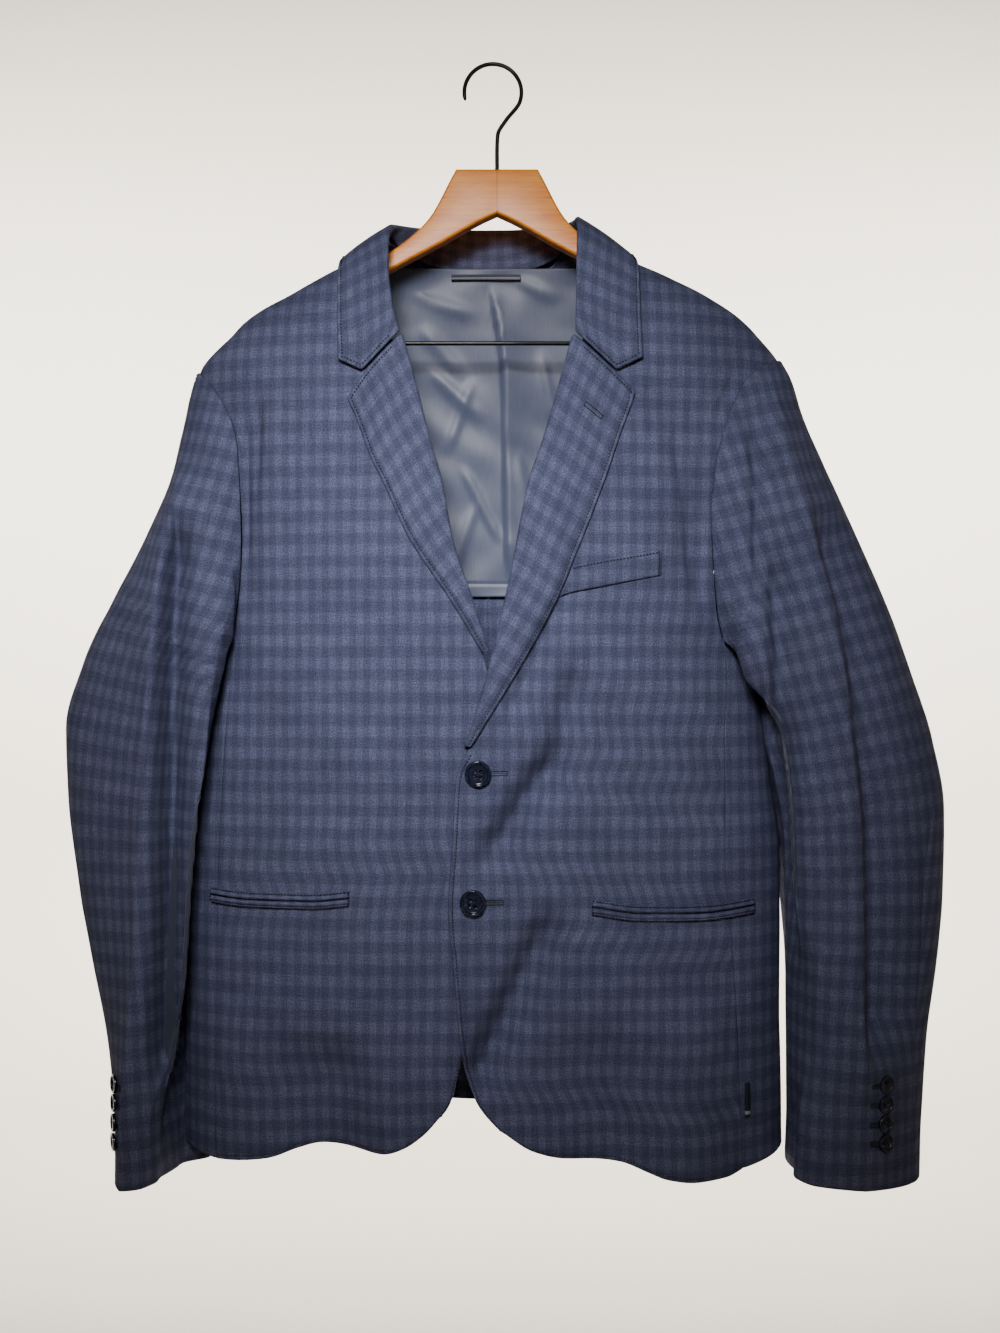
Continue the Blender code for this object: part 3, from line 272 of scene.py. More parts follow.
def satinLining(name, dim=1.0):
    # viscose satin: long smooth floats that shine in soft streaks across its creases
    material, tree, shader = newMaterial(name)
    place = addNode(tree, "UVMap", {"uv_map": "cloth"})
    squeeze = addNode(tree, "Mapping", {0: place, "Scale": (1.0, 0.12, 1.0)})
    thread = noise(tree, squeeze, 1 / satin["thread"], 2.0)
    tone = remap(tree, thread, *noiseSpan, *satin["streaks"])
    base = [c * dim for c in colour(satin["base"])[:3]]
    setUp(tree, shader, {
        "Base Color": addNode(tree, "VectorMath", {"operation": "SCALE", 0: base, "Scale": tone}),
        "Normal": addNode(tree, "Bump", {"Strength": 0.12, "Distance": 0.0003, "Height": thread}),
        "Roughness": satin["roughness"], "Anisotropic": 0.5, "Sheen Weight": 0.15})
    return material


woolBody = woolCheck("worsted wool check")
woolSleeve = woolCheck("worsted wool check of the sleeves", 0.3, 0.4)
woolCollar = woolCheck("worsted wool check of the collar", 0.1, 0.15)
bodyLining = satinLining("viscose satin lining")
sleeveLining = satinLining("viscose satin sleeve lining", 0.5)
print("stage: cloth materials made")


body = {
    "wall": 0.0017,         # m, wool with its lining
    "lap": 0.0032,          # m, how deep the right front lies under the left one
    "lapFrom": -0.100, "lapEase": 0.055,
    "squareness": 2.8,      # of the section towards its sides
    "foldFade": 0.045,      # m, over which a fold starts and ends
    "seam": (0.0008, 0.0030),       # m, how far cloth sinks into a seam, and over what width
    "edge": (0.0011, 0.0026),       # m, how far a free edge rolls over, and over what width
    "stitchAt": 0.0042,     # m, from a free edge to its stitching
    "stitchDent": 0.0007, "stitchWide": 0.0011,
    "turnRadius": 0.0005,
    "turnDeep": 0.0040,     # m, how far a seam's allowance goes in
    "narrowest": 0.0105,    # m, a narrow trim is cut wider than it shows
}
front, back = -1, 1
handOf = {"right": -1, "left": 1}
bodyRows = metres((   # z, then half widths right and left, then depths front and back
    (-129, 70, 60, 24, 28), (-140, 84, 76, 30, 34), (-152, 100, 93, 35, 37), (-164, 117, 111, 38, 39),
    (-178.1, 146.3, 141, 41, 41), (-194, 173.2, 173.5, 45, 43), (-209.1, 200.9, 198.5, 48, 45),
    (-218.4, 213.5, 209.5, 50, 46), (-226.8, 221, 217, 51, 47), (-261.2, 249.7, 240, 56, 50),
    (-300, 251, 242, 60, 53), (-360, 245, 233, 64, 55), (-420, 239, 222, 66, 55), (-475, 236, 215, 66, 53),
    (-540, 244, 222, 65, 50), (-600, 253, 229, 63, 47), (-660, 259, 237, 63, 47), (-720, 261, 237.5, 64, 48),
    (-780, 261.5, 237, 65, 50), (-850, 261.5, 238, 66, 52), (-940, 261.5, 240, 67, 53)
))
bodyFolds = {   # top x, top z, foot x, foot z, half width, depth
    front: metres((
        (-197, -270, -202, -470, 8, -7), (-178, -265, -188, -420, 12, 4.5), (133, -250, 149, -380, 10, -5),
        (156, -270, 162, -470, 8, -6), (68, -490, 40, -625, 12, -11), (56, -560, -20, -680, 12, -15),
        (52, -690, -28, -860, 14, -17), (70, -415, 0, -565, 8.5, -7.5), (-233, -790, -172, -733, 6, -4),
        (-140, -790, -135, -960, 33, -17), (-85, -800, -80, -960, 25, 6), (-215, -760, -215, -960, 28, 10),
        (85, -780, 85, -960, 30, -10), (160, -760, 162, -960, 32, 12)
    )),
    back: metres((
        (-156, -280, -165, -470, 12, -6), (145, -290, 150, -480, 12, -6), (-70, -520, -95, -660, 18, -4),
        (65, -500, 90, -650, 18, -4.5), (-115, -760, -120, -960, 32, -10), (105, -770, 112, -960, 32, -9),
        (-55, -760, -52, -960, 30, 6), (50, -760, 48, -960, 30, 6)
    )),
}
smallFolds = {front: metres((
    (-203, -295, -204, -430, 3.2, -3.5), (-190.5, -266, -196, -370, 4.5, -2.2),
    (-163, -280, -170, -460, 7, -1.2), (118, -260, 129, -330, 5.5, -2), (144, -295, 156, -440, 5, -2.6),
    (164, -300, 161, -470, 4.5, -2.2), (195, -260, 175, -310, 4, -2.2)
))}
bodyAt = [smoothCurve(bodyRows[::-1, 0], bodyRows[::-1, k]) for k in range(5)]


def halfWidth(z, hand):
    return np.where(hand < 0, bodyAt[1](z), bodyAt[2](z))


def foldDepth(x, z, side, table=None, fadeOver=body["foldFade"]):
    total = np.zeros(np.broadcast(x, z, side).shape)
    for foldSide, rows in (table or bodyFolds).items():
        for x0, z0, x1, z1, wide, depth in rows:
            length = math.hypot(x1 - x0, z1 - z0)
            dx, dz = (x1 - x0) / length, (z1 - z0) / length
            along = (x - x0) * dx + (z - z0) * dz
            fade = ease(along / fadeOver) * ease((length - along) / fadeOver)
            fold = depth * fade * bell(((x - x0) * dz - (z - z0) * dx) / wide)
            total = total + np.where(side == foldSide, fold, 0.0)
    return total


def bag(turn, z, hand):   # turn is 0 at the side, a right angle at mid front, less than 0 behind
    turn, z, hand = np.broadcast_arrays(turn, z, hand)
    side = np.where(turn >= 0, front, back)
    power, step = body["squareness"], 1e-4

    def sizes(z):
        return halfWidth(z, hand), np.where(side == front, bodyAt[3](z), bodyAt[4](z))

    (half, deep), (halfUp, deepUp), (halfDown, deepDown) = sizes(z), sizes(z + step), sizes(z - step)
    out = np.abs(np.cos(turn)) ** (2 / power)
    far = np.abs(np.sin(turn))
    room = far ** 2                                   # no fold where front and back meet
    x = hand * half * out
    y = side * (deep * far + foldDepth(x, z, side) * room)
    gradY = side * 2 * far / deep
    folding = gradY * side * room / (2 * step)
    gradX = (hand * power * out ** (power - 1) / half
             - folding * (foldDepth(x + step, z, side) - foldDepth(x - step, z, side)))
    growing = power * out ** power * (halfUp - halfDown) / half + 2 * room * (deepUp - deepDown) / deep
    gradZ = -growing / (2 * step) - folding * (foldDepth(x, z + step, side) - foldDepth(x, z - step, side))
    return np.stack([x, y, z], axis=-1), unit(np.stack([gradX, gradY, gradZ], axis=-1))


def turnAt(x, z, side):
    hand = np.where(x < 0, -1, 1)
    out = np.clip(np.abs(x) / halfWidth(z, hand), 0.0, 1.0) ** (body["squareness"] / 2)
    return -side * np.arccos(out), hand


def onBody(x, z, side, lift=0.0):
    turn, hand = turnAt(x, z, side)
    point, normal = bag(turn, z, hand)
    return point + normal * np.expand_dims(lift + 0 * point[..., 0], -1), normal


def lapUnder(x):   # the wearer's right front sinks under the left one
    return -body["lap"] * ease((x - body["lapFrom"]) / body["lapEase"])


def patch(top, foot, near, far, v, u):   # x and z over a panel between its four edges
    (a, b), (c, d) = top(np.array([0.0, 1.0])), foot(np.array([0.0, 1.0]))
    top, foot, near, far = top(u), foot(u), near(v), far(v)
    v, u = v[:, None, None], u[None, :, None]
    edges = (1 - v) * top[None] + v * foot[None] + (1 - u) * near[:, None] + u * far[:, None]
    corners = (1 - u) * (1 - v) * a + u * (1 - v) * b + (1 - u) * v * c + u * v * d
    return np.moveaxis(edges - corners, -1, 0)


def fourSided(corners, v, u):   # the same between near and far corners at the top, then at the foot
    a, b, c, d = corners
    return patch(*(pathThrough(pair) for pair in ((a, b), (c, d), (a, c), (b, d))), v, u)


def gridNormals(points):
    return unit(np.cross(np.gradient(points, axis=1), np.gradient(points, axis=0)))


def edgeDistances(points):   # of each point from the sheet's four edges, along the cloth
    across, down = runAlong(points, 1), runAlong(points, 0)
    return {"near": across, "far": across[:, -1:] - across, "top": down, "foot": down[-1:] - down}


def finishedEdges(points, normals, **kinds):   # each edge a "seam", an "edge" or "stitched"
    distances = edgeDistances(points)
    lift = np.zeros(points.shape[:2])
    for name, kind in kinds.items():
        drop, width = body["seam" if kind == "seam" else "edge"]
        t = np.clip(1 - distances[name] / width, 0, 1)
        lift -= drop * (1 - np.sqrt(np.clip(1 - t * t, 0, 1)))
        if kind == "stitched":
            lift -= body["stitchDent"] * bell((distances[name] - body["stitchAt"]) / body["stitchWide"])
    return points + normals * lift[..., None]


def crossed(grid):
    return grid.transpose(1, 0, 2)


edgeMoves = {"top": (), "foot": (np.flipud,), "near": (crossed,), "far": (crossed, np.flipud)}


def turnedIn(grids, edges, deep):   # seam allowances, rolled in behind the sheet's edges
    radius = body["turnRadius"]
    for edge in edges:
        for move in edgeMoves[edge]:
            grids = [move(grid) for grid in grids]
        points, normals, uv = grids
        away, inward = unit(points[0] - points[2]), -normals[0]
        rows = [points[0] + away * radius * math.sin(t) + inward * radius * (1 - math.cos(t))
                for t in np.radians((90, 60, 30))]
        rows = [rows[0] + inward * deep, rows[0] + inward * deep * 0.4, *rows]
        lengths = np.array([deep + 0.0016, deep * 0.4 + 0.0016, 0.0015, 0.0010, 0.0005])[:, None, None]
        plies = uv[None, 0] + lengths * unit(uv[0] - uv[1])[None]
        pairs = (rows, points), (np.repeat(normals[:1], 5, axis=0), normals), (plies, uv)
        grids = [np.concatenate(pair) for pair in pairs]
        for move in reversed(edgeMoves[edge]):
            grids = [move(grid) for grid in grids]
    return grids


def clothPiece(name, nodes, skin, uv, outside, inside=None, wall=body["wall"], turned=(),
               deep=body["turnDeep"], slot="wool", restsOn="hanger_wood"):
    points, normals, uv = turnedIn([*skin, uv], turned, deep)
    rows, cols = points.shape[0] - 1, points.shape[1] - 1
    grid = bmesh.new()
    bmesh.ops.create_grid(grid, x_segments=cols, y_segments=rows, size=0.5)
    mesh = bpy.data.meshes.new(name)
    grid.to_mesh(mesh)
    grid.free()
    flat = np.zeros(len(mesh.vertices) * 3, np.float32)
    mesh.vertices.foreach_get("co", flat)
    row = np.rint((0.5 - flat[1::3]) * rows).astype(int)
    col = np.rint((flat[::3] + 0.5) * cols).astype(int)
    mesh.vertices.foreach_set("co", points[row, col].astype(np.float32).ravel())
    corners = np.zeros(len(mesh.loops), np.int32)
    mesh.loops.foreach_get("vertex_index", corners)
    for layer in list(mesh.uv_layers):
        mesh.uv_layers.remove(layer)
    mesh.uv_layers.new(name="cloth").data.foreach_set("uv", uv[row, col][corners].astype(np.float32).ravel())
    i, j = rows // 2, cols // 2
    facing = -np.cross(points[i, j + 1] - points[i, j], points[i + 1, j] - points[i, j])
    if np.dot(facing, normals[i, j]) < 0:
        mesh.flip_normals()
    mesh.shade_smooth()
    mesh.update()
    piece = addObject(name, mesh)
    mesh.materials.append(outside)
    mesh.materials.append(inside or outside)
    solid = piece.modifiers.new("wall", "SOLIDIFY")
    solid.thickness = wall
    solid.offset = -1
    solid.material_offset = 1
    settle(piece, slot, *nodes)
    flat = [max(float(size), body["narrowest"]) for size in np.ptp(uv.reshape(-1, 2), axis=0)]


def clothAcross(points, start, hand=1):   # pattern place: level distance along the cloth, and height
    return np.stack([start + hand * runAlong(points[..., :2], 1), points[..., 2]], axis=-1)


# edges of the body's panels from the top down, as x and z
neckBack, hemBack = (-0.0080, -0.1640), (-0.0080, -0.8850)
frontEdge = bothSides((
    (-92, -146), (-96, -165), (-96.5, -185), (-92.5, -212), (-83.5, -245), (-70, -284.7), (-58.7, -323.7),
    (-49, -356), (-40, -403.8), (-24.5, -451.6), (-11, -495.4), (0, -531.3), (7, -571.1), (8.5, -610),
    (6, -650), (0, -697), (-6, -743.7), (-18, -795), (-26.8, -823), (-33.2, -844.4), (-44.3, -862.7)
), (
    (74, -138.6), (76.5, -160), (77.5, -180), (75, -212), (69.5, -240), (59, -264), (50.1, -296.2),
    (39.8, -330.5), (31, -356), (13.5, -443.6), (-10.4, -539.3), (-22.5, -570), (-32.4, -592.2),
    (-35.6, -646.2), (-38.7, -696.9), (-34.8, -743.7), (-26.8, -823), (-17.3, -849.2), (3.3, -873)
))
hem = bothSides((
    (-44.3, -862.7), (-58.6, -877.7), (-75.2, -887.2), (-92.7, -891.5), (-122.8, -889), (-140, -888.5),
    (-160, -892), (-183, -899), (-212, -904)
), (
    (3.3, -873), (27.9, -889), (53.3, -896), (79.4, -898.5), (100, -901), (120.7, -908), (135.7, -913),
    (160.3, -915.5), (185, -915), (200, -911)
))
armholeFront = bothSides((
    (-249.7, -261.2), (-234.9, -275.9), (-224.7, -290.3), (-217, -304.4), (-212.1, -320.7), (-209.5, -351.9),
    (-207.9, -401), (-210, -440), (-215, -475)
), (
    (235.3, -252), (223.5, -257), (209.8, -266), (199, -279), (190.7, -296.1), (181.1, -322.4),
    (175.2, -351.9), (172.8, -384.7), (174.4, -417.4), (178.5, -461.6), (184, -483.7)
))
seamFront = bothSides((
    (-215, -475), (-220, -530), (-225, -600), (-228, -680), (-229, -760), (-229, -840), (-229, -904)
), (
    (184, -483.7), (187.5, -510), (185.1, -570.4), (185.1, -656.9), (191, -731.2), (194.8, -790.2),
    (197.5, -850), (200, -911)
))
armholeBack = bothSides((
    (-249.7, -261.2), (-235, -280), (-221.5, -310), (-213, -350), (-208, -400), (-202, -450)
), (
    (235.3, -252), (223, -276), (209, -310), (199, -350), (191, -400), (184, -450)
))
seamBack = bothSides((
    (-202, -450), (-196, -520), (-191, -600), (-193, -700), (-198, -800), (-202, -890)
), (
    (184, -450), (178, -520), (173, -600), (175, -700), (180, -800), (183, -890)
))
darts = bothSides((   # from the chest down to the pocket
    (-125.8, -506), (-129, -570), (-133, -630), (-135.2, -684)
), (
    (92.5, -510), (94, -570), (95, -620), (95, -668)
))
underarmZ = {"right": -0.4870, "left": -0.4960}
panels = {
    "flare": (0.0024, 0.011, -0.560),   # m, how far the lapping edge stands off, how wide and below what z
    "frontCells": (220, 84), "backCells": (180, 64), "sideCells": (150, 26),
    "ventTop": -0.700, "ventLap": 0.030,
    "ventEase": (0.014, 0.022, 0.085, 0.035),   # m, where the lap starts to rise and over what, across and up
    "seamHalf": 0.00015,    # m, half the gap at a seam
    "dartWidth": 0.0016, "dartDent": 0.0009,
    "dartPull": 0.009,      # m, how far out a dart draws the cloth in
    "rippleHigh": 0.00035,
    "underarmTuck": 0.002,
}


def ripple(x, z, seed=0.0):   # faint unevenness of hanging cloth
    a = np.sin(x * 61 + 2.1 * np.sin(z * 23 + seed) + seed) * np.sin(z * 17 + 1.3 * np.sin(x * 31) + 2 * seed)
    return a + 0.45 * np.sin(x * 140 + 1.7 * np.sin(z * 41 - seed)) * np.sin(z * 52 + seed)


def within(z, line, footFade, topFade):   # 1 between a line's ends
    return ease((z - line[-1, 1]) / footFade) * ease((line[0, 1] - z) / topFade)


def dartDent(x, z, line):
    off = x - lineX(line)(z)
    dent = bell(off / panels["dartWidth"]) + 0.5 * bell(off / panels["dartPull"], 1)
    return -panels["dartDent"] * within(z, line, 0.006, 0.05) * dent


def inset(points, distance):
    lean = unit(np.gradient(points, axis=0))
    return points + distance * np.stack([lean[:, 1], -lean[:, 0]], axis=1)


def outerEdge(armhole, seam, hand):
    z = np.linspace(seam[0, 1], seam[-1, 1], 40)
    down = np.stack([lineX(seam)(z), z], axis=1)
    line = np.concatenate([pathThrough(armhole)(np.linspace(0, 1, 60)), down[1:]])
    return pathThrough(inset(line, hand * panels["seamHalf"]))


def shoulderLine(neckPoint, tipPoint, hand):
    z = np.linspace(neckPoint[1], tipPoint[1], 50)
    line = np.stack([hand * halfWidth(z, hand), z], axis=1)
    line[-1] = tipPoint
    return line


def bodyDetail(x, z, side, seed):
    return foldDepth(x, z, side, smallFolds, 0.03) + panels["rippleHigh"] * ripple(x, z, seed)


def frontPanel(hand, side):
    far, near = outerEdge(armholeFront[side], seamFront[side], hand), frontEdge[side]
    foot = np.concatenate([hem[side][:-1], [far(1.0)]])
    rows, cols = panels["frontCells"]
    edges = [pathThrough(line) for line in (shoulderLine(near[0], far(0.0), hand), foot, near)]
    x, z = patch(*edges, far, gathered(rows) ** 1.15, gathered(cols))
    lift = bodyDetail(x, z, front, hand) + dartDent(x, z, darts[side])
    if hand < 0:
        lift += lapUnder(x)
    else:
        high, wide, fromZ = panels["flare"]
        lift += high * bell((x - x[:, :1]) / wide, 1) * ease((fromZ - z) / 0.03)
    points, normals = onBody(x, z, front, lift)
    points[..., 1] -= panels["seamHalf"]
    points = finishedEdges(points, normals, near="stitched", far="seam", top="seam", foot="stitched")
    cloth = clothAcross(points, x[:, :1], hand)
    clothPiece(f"front_panel_{side}", [f"front_{side}"], (points, normals), cloth, woolBody, bodyLining,
               turned=("top", "far"))
    return points, normals


def ventLift(x, z):
    aside, across, above, up = panels["ventEase"]
    return body["lap"] * ease((aside - x) / across) * ease((panels["ventTop"] + above - z) / up)


def backPanel(hand, side):
    far, neck = outerEdge(armholeBack[side], seamBack[side], hand), frontEdge[side][0]
    middle = neckBack[0] + hand * panels["seamHalf"]
    top = np.concatenate([[(middle, neckBack[1]), (0.55 * neck[0] + 0.45 * middle, neckBack[1] + 0.001)],
                          shoulderLine(neck, far(0.0), hand)])
    nearZ = np.linspace(neckBack[1], hemBack[1], 160)
    lap = panels["ventLap"] * ease((panels["ventTop"] - nearZ) / 0.012) * (hand > 0)
    near = np.stack([middle - lap, nearZ], axis=1)
    foot = [near[-1], ((near[-1, 0] + far(1.0)[0]) / 2, hemBack[1]), far(1.0)]
    rows, cols = panels["backCells"]
    edges = [pathThrough(line) for line in (top, foot, near)]
    x, z = patch(*edges, far, gathered(rows) ** 1.1, gathered(cols))
    points, normals = onBody(x, z, back, ventLift(x, z) * (hand > 0) + bodyDetail(x, z, back, 3 * hand))
    points[..., 1] += panels["seamHalf"]
    points = finishedEdges(points, normals, near="seam", far="seam", top="seam", foot="edge")
    clothPiece(f"back_panel_{side}", [f"back_{side}"], (points, normals), clothAcross(points, x[:, :1], hand),
               woolBody, turned=("top", "far", "near"), deep=0.0012)


def sideTop(side):
    return smoothCurve((0.0, 0.45, 1.0), (seamFront[side][0, 1], underarmZ[side], seamBack[side][0, 1]))


def sideTurn(side, z, u, hand, gap):
    first, last = (turnAt(lineX(seam[side])(z) + hand * gap, z, face)[0]
                   for seam, face in ((seamFront, front), (seamBack, back)))
    return first + (last - first) * u


def sidePanel(hand, side):
    rows, cols = panels["sideCells"]
    v, u = gathered(rows)[:, None] ** 1.1, gathered(cols)[None, :]
    top = sideTop(side)(u) + panels["underarmTuck"]
    z = (1 - v) * top + v * ((1 - u) * seamFront[side][-1, 1] + u * seamBack[side][-1, 1])
    points, normals = bag(sideTurn(side, z, u, hand, panels["seamHalf"]), z, hand)
    points = points + normals * (panels["rippleHigh"] * ripple(points[..., 1], z, 5.0))[..., None]
    points = finishedEdges(points, normals, near="seam", far="seam", top="seam", foot="edge")
    start = lineX(seamFront[side])(z[:, :1])
    clothPiece(f"side_panel_{side}", [f"side_{side}"], (points, normals), clothAcross(points, start, hand),
               woolBody, bodyLining, turned=("near", "far", "top"))


frontSkin = {}
for side, hand in handOf.items():
    frontSkin[side] = frontPanel(hand, side)
    backPanel(hand, side)
    sidePanel(hand, side)
print("stage: body panels made")


sleeves = {
    "head": 6,              # rings over which the armhole's outline becomes an oval
    "oval": 0.88, "innerOval": 0.66, "outerOval": 1.75,   # how square a section and its front corners are
    "rows": 210, "topCols": 112, "underCols": 60,
    "overlap": 0.0016,      # m, how far a sleeve's edge covers the body's
    "lift": 0.0010, "proud": 0.0018,
    "seamGap": 0.004,       # radians, half the gap between top and under sleeve
    "rippleHigh": 0.0003,
}
sleeveColumns = ("outX", "outY", "outZ", "inX", "inY", "inZ", "fore", "rear")
sleeveRows = bothSides((
    (-249.7, 0, -261.2, -234.5, 0, -487, 45, 40), (-255, 0, -279, -238.5, -3, -492.5, 51, 46),
    (-261.5, 0, -309, -240.5, -6, -498.5, 57, 52), (-271, 0, -349, -241.5, -9, -507, 62, 57),
    (-289.5, 0, -392, -243, -12, -518, 64, 59), (-319, 1, -448, -246, -14, -536, 63, 59),
    (-344, 2, -500, -251, -16, -562, 61, 58), (-359, 2, -555, -257, -17, -593, 59, 56),
    (-356.5, 2, -615, -262, -18, -637, 57, 54), (-346.5, 0, -685, -264.5, -19, -696, 55, 51),
    (-332.5, -4, -750, -265.5, -22, -756, 53, 49), (-316.5, -8, -810, -266, -24, -813, 52, 48),
    (-306.5, -10, -868, -266, -26, -869, 51, 48), (-305.5, -12, -922, -266, -26, -919, 51, 48)
), (
    (235.3, 0, -252, 214.5, 0, -496, 45, 40), (244.5, 0, -269, 219.5, -3, -500, 51, 46),
    (254.5, 0, -298, 221, -8, -505, 57, 52), (273.5, 1, -340, 221, -14, -512, 62, 57),
    (298, 2, -392, 221, -20, -523, 64, 59), (322.5, 3, -449, 222, -25, -540, 63, 59),
    (344, 4, -506, 224, -27, -566, 61, 57), (363, 4, -565, 231, -27, -598, 59, 55),
    (373.5, 4, -625, 238, -26, -645, 58, 53), (371.5, 1, -695, 240, -24, -705, 56, 50),
    (364.5, -4, -755, 240, -24, -760, 54, 48), (355, -10, -815, 239.5, -26, -815, 53, 47),
    (350, -14, -873, 239.5, -29, -868, 52, 47), (347.5, -16, -924, 238, -30, -912, 52, 47)
))
sleeveTurns = {   # degrees round the section, where its seams at the elbow and inside run, row by row
    "right": (
        (-75, -68, -58, -45, -28, -10, 4, 14, 20, 27, 31, 33, 34, 34),
        (168, 170, 172, 174, 177, 181, 186, 190, 194, 196, 196, 196, 196, 196)
    ),
    "left": (
        (-75, -68, -58, -45, -28, -10, 4, 20, 34, 40, 38, 37, 33, 32),
        (168, 170, 172, 174, 177, 181, 186, 190, 194, 196, 196, 196, 196, 196)
    ),
}
sleeveLean = bothSides((   # towards the body, row by row: the crest, the edge over the body, the one behind
    (-10, -4, 3, 8, 13, 23, 34, 40, 40, 33, 25, 14, 8, 3),
    (0, 8, 19, 23, 27, 27, 27, 27, 24, 23, 23, 16, 9, 5),
    (0, 0, 0, 4, 14, 22, 28, 30, 30, 30, 28, 26, 22, 18)
), (
    (-10, -6, -2, 5, 10, 16, 20, 26, 29, 25, 20, 14, 12, 9),
    (0, 6, 14, 22, 27, 16, 5, 8, 11, 9, 0, 0, 8, 10),
    (0, 0, 0, 4, 10, 16, 16, 14, 12, 8, 3, 0, 0, 0)
))
sleeveGrain = bothSides((   # the line the stripes follow
    (-193, -150), (-228, -300), (-253, -400), (-279, -500), (-294, -580), (-299, -640), (-296, -700),
    (-289, -800), (-284, -960)
), (
    (178, -150), (212, -300), (240, -400), (270, -500), (291, -580), (300, -640), (302, -700), (298, -800),
    (292, -960)
))
sleeveFolds = {   # lines down the front; then width to the left and right, depth, sharpness
    "right": (
        (((-259, -330), (-264.5, -409.4), (-270.9, -473.1), (-276.5, -548), (-280.4, -611.8),
          (-284.4, -676.3),
          (-287.6, -744.9), (-293.2, -814.2), (-300, -910)),
         0.013, 0.012, 0.0095, 1.05),
        (((-259, -370), (-260, -440), (-261, -483.5), (-262, -540), (-263, -600), (-265, -690.7),
          (-268, -770),
          (-270, -850)),
         0.0055, 0.015, -0.029, 1.6),
    ),
    "left": (
        (((221, -260), (231.4, -311.3), (245, -368.1), (257.8, -419.4), (267.4, -460.2), (276.2, -515.4),
          (283.4, -577.8), (289, -643.4), (291, -730), (290, -860)),
         0.013, 0.01, 0.009, 1.05),
        (((199.4, -279.4), (205.8, -317), (207.4, -372.2), (206.6, -427.4), (207.4, -473)),
         0.005, 0.007, -0.0065, 2.0),
        (((220, -400), (221.5, -445), (225.5, -518.6), (230, -600), (232, -720)),
         0.008, 0.012, -0.016, 1.8),
        (((254, -368.1), (264, -419.4), (274, -460.2), (282.5, -515.4), (289.5, -577.8), (295, -643.4),
          (296.5, -730), (296, -830)),
         0.005, 0.025, -0.023, 1.5),
    ),
}


def armholeRing(hand, side):   # the sleeve's upper edge, 0 at the shoulder's tip and round over the front
    halves = []
    for face, armhole, uFrom in ((front, armholeFront[side], 0.0), (back, armholeBack[side], 1.0)):
        line = inset(pathThrough(armhole)(np.linspace(0, 1, 60)), hand * sleeves["overlap"])
        u = np.linspace(uFrom, 0.45, 12)[1:]
        z = sideTop(side)(u) - sleeves["overlap"]
        parts = onBody(line[:, 0], line[:, 1], face), bag(sideTurn(side, z, u, hand, 0.0), z, hand)
        points, normals = (np.concatenate(pair) for pair in zip(*parts))
        run = runAlong(points)
        proud = sleeves["lift"] + sleeves["proud"] * ease((1 - run / run[-1]) / 0.3)
        halves.append(pathThrough(points + normals * proud[:, None]))

    def ring(angle):
        share = (angle % (2 * math.pi)) / math.pi
        ahead, behind = halves[0](np.clip(share, 0, 1)), halves[1](np.clip(2 - share, 0, 1))
        return np.where((share <= 1)[..., None], ahead, behind)

    return ring


def rowsAt(at, names, columns):   # a table's columns at any place between its rows
    return {name: smoothCurve(range(len(column)), column)(at) for name, column in zip(names, columns)}


def placeOf(row, part):
    return np.stack([row[part + axis] for axis in "XYZ"], axis=-1)


def sleeveAt(side, share, shift=1):   # its measures at a share of its length, or all at the top for shift 0
    at = share * (len(sleeveRows[side]) - 1)
    columns = (*sleeveRows[side].T, *sleeveLean[side], *np.radians(sleeveTurns[side]))
    names = (*sleeveColumns, "crest", "over", "behind", "elbow", "inner")
    return rowsAt(at * shift, names, columns) | {"at": at}


def sleeveRing(row, angle):
    out, inside = placeOf(row, "out"), placeOf(row, "in")
    half = (out - inside) / 2
    fore = np.stack([half[..., 1], -half[..., 0], 0 * half[..., 0]], axis=-1)
    fore = unit(-fore * np.sign(fore[..., 1:2]))
    cos, sin = np.cos(angle), np.sin(angle)
    power = np.where(sin > 0, np.where(cos < 0, sleeves["innerOval"], sleeves["outerOval"]), sleeves["oval"])
    inner = row["over"] * ease((sin - 0.25) / 0.35) + row["behind"] * ease((-sin - 0.35) / 0.35)
    lean = row["crest"] * np.clip(sin, 0, 1) ** 3 + ease((-cos - 0.05) / 0.5) * inner
    deep = np.where(sin > 0, row["fore"], row["rear"])
    points = (out + inside) / 2 + half * (np.sign(cos) * np.abs(cos) ** power)[..., None]
    points = points + fore * (deep * sin)[..., None]
    points[..., 0] -= np.sign(out[..., 0]) * lean
    return points


def sleeveSurface(side, share, angles, ring):   # share of the length down each row, angles round it
    here, first = (sleeveAt(side, share[:, None], shift) for shift in (1, 0))
    hold = 1 - ease(here["at"] / sleeves["head"])
    return sleeveRing(here, angles) + hold[..., None] * (ring(angles) - sleeveRing(first, angles))


def lineFold(x, z, line, left, right, depth, power):
    off = x - lineX(line)(z)
    return depth * within(z, line, 0.05, 0.05) * bell(off / np.where(off < 0, left, right), power)


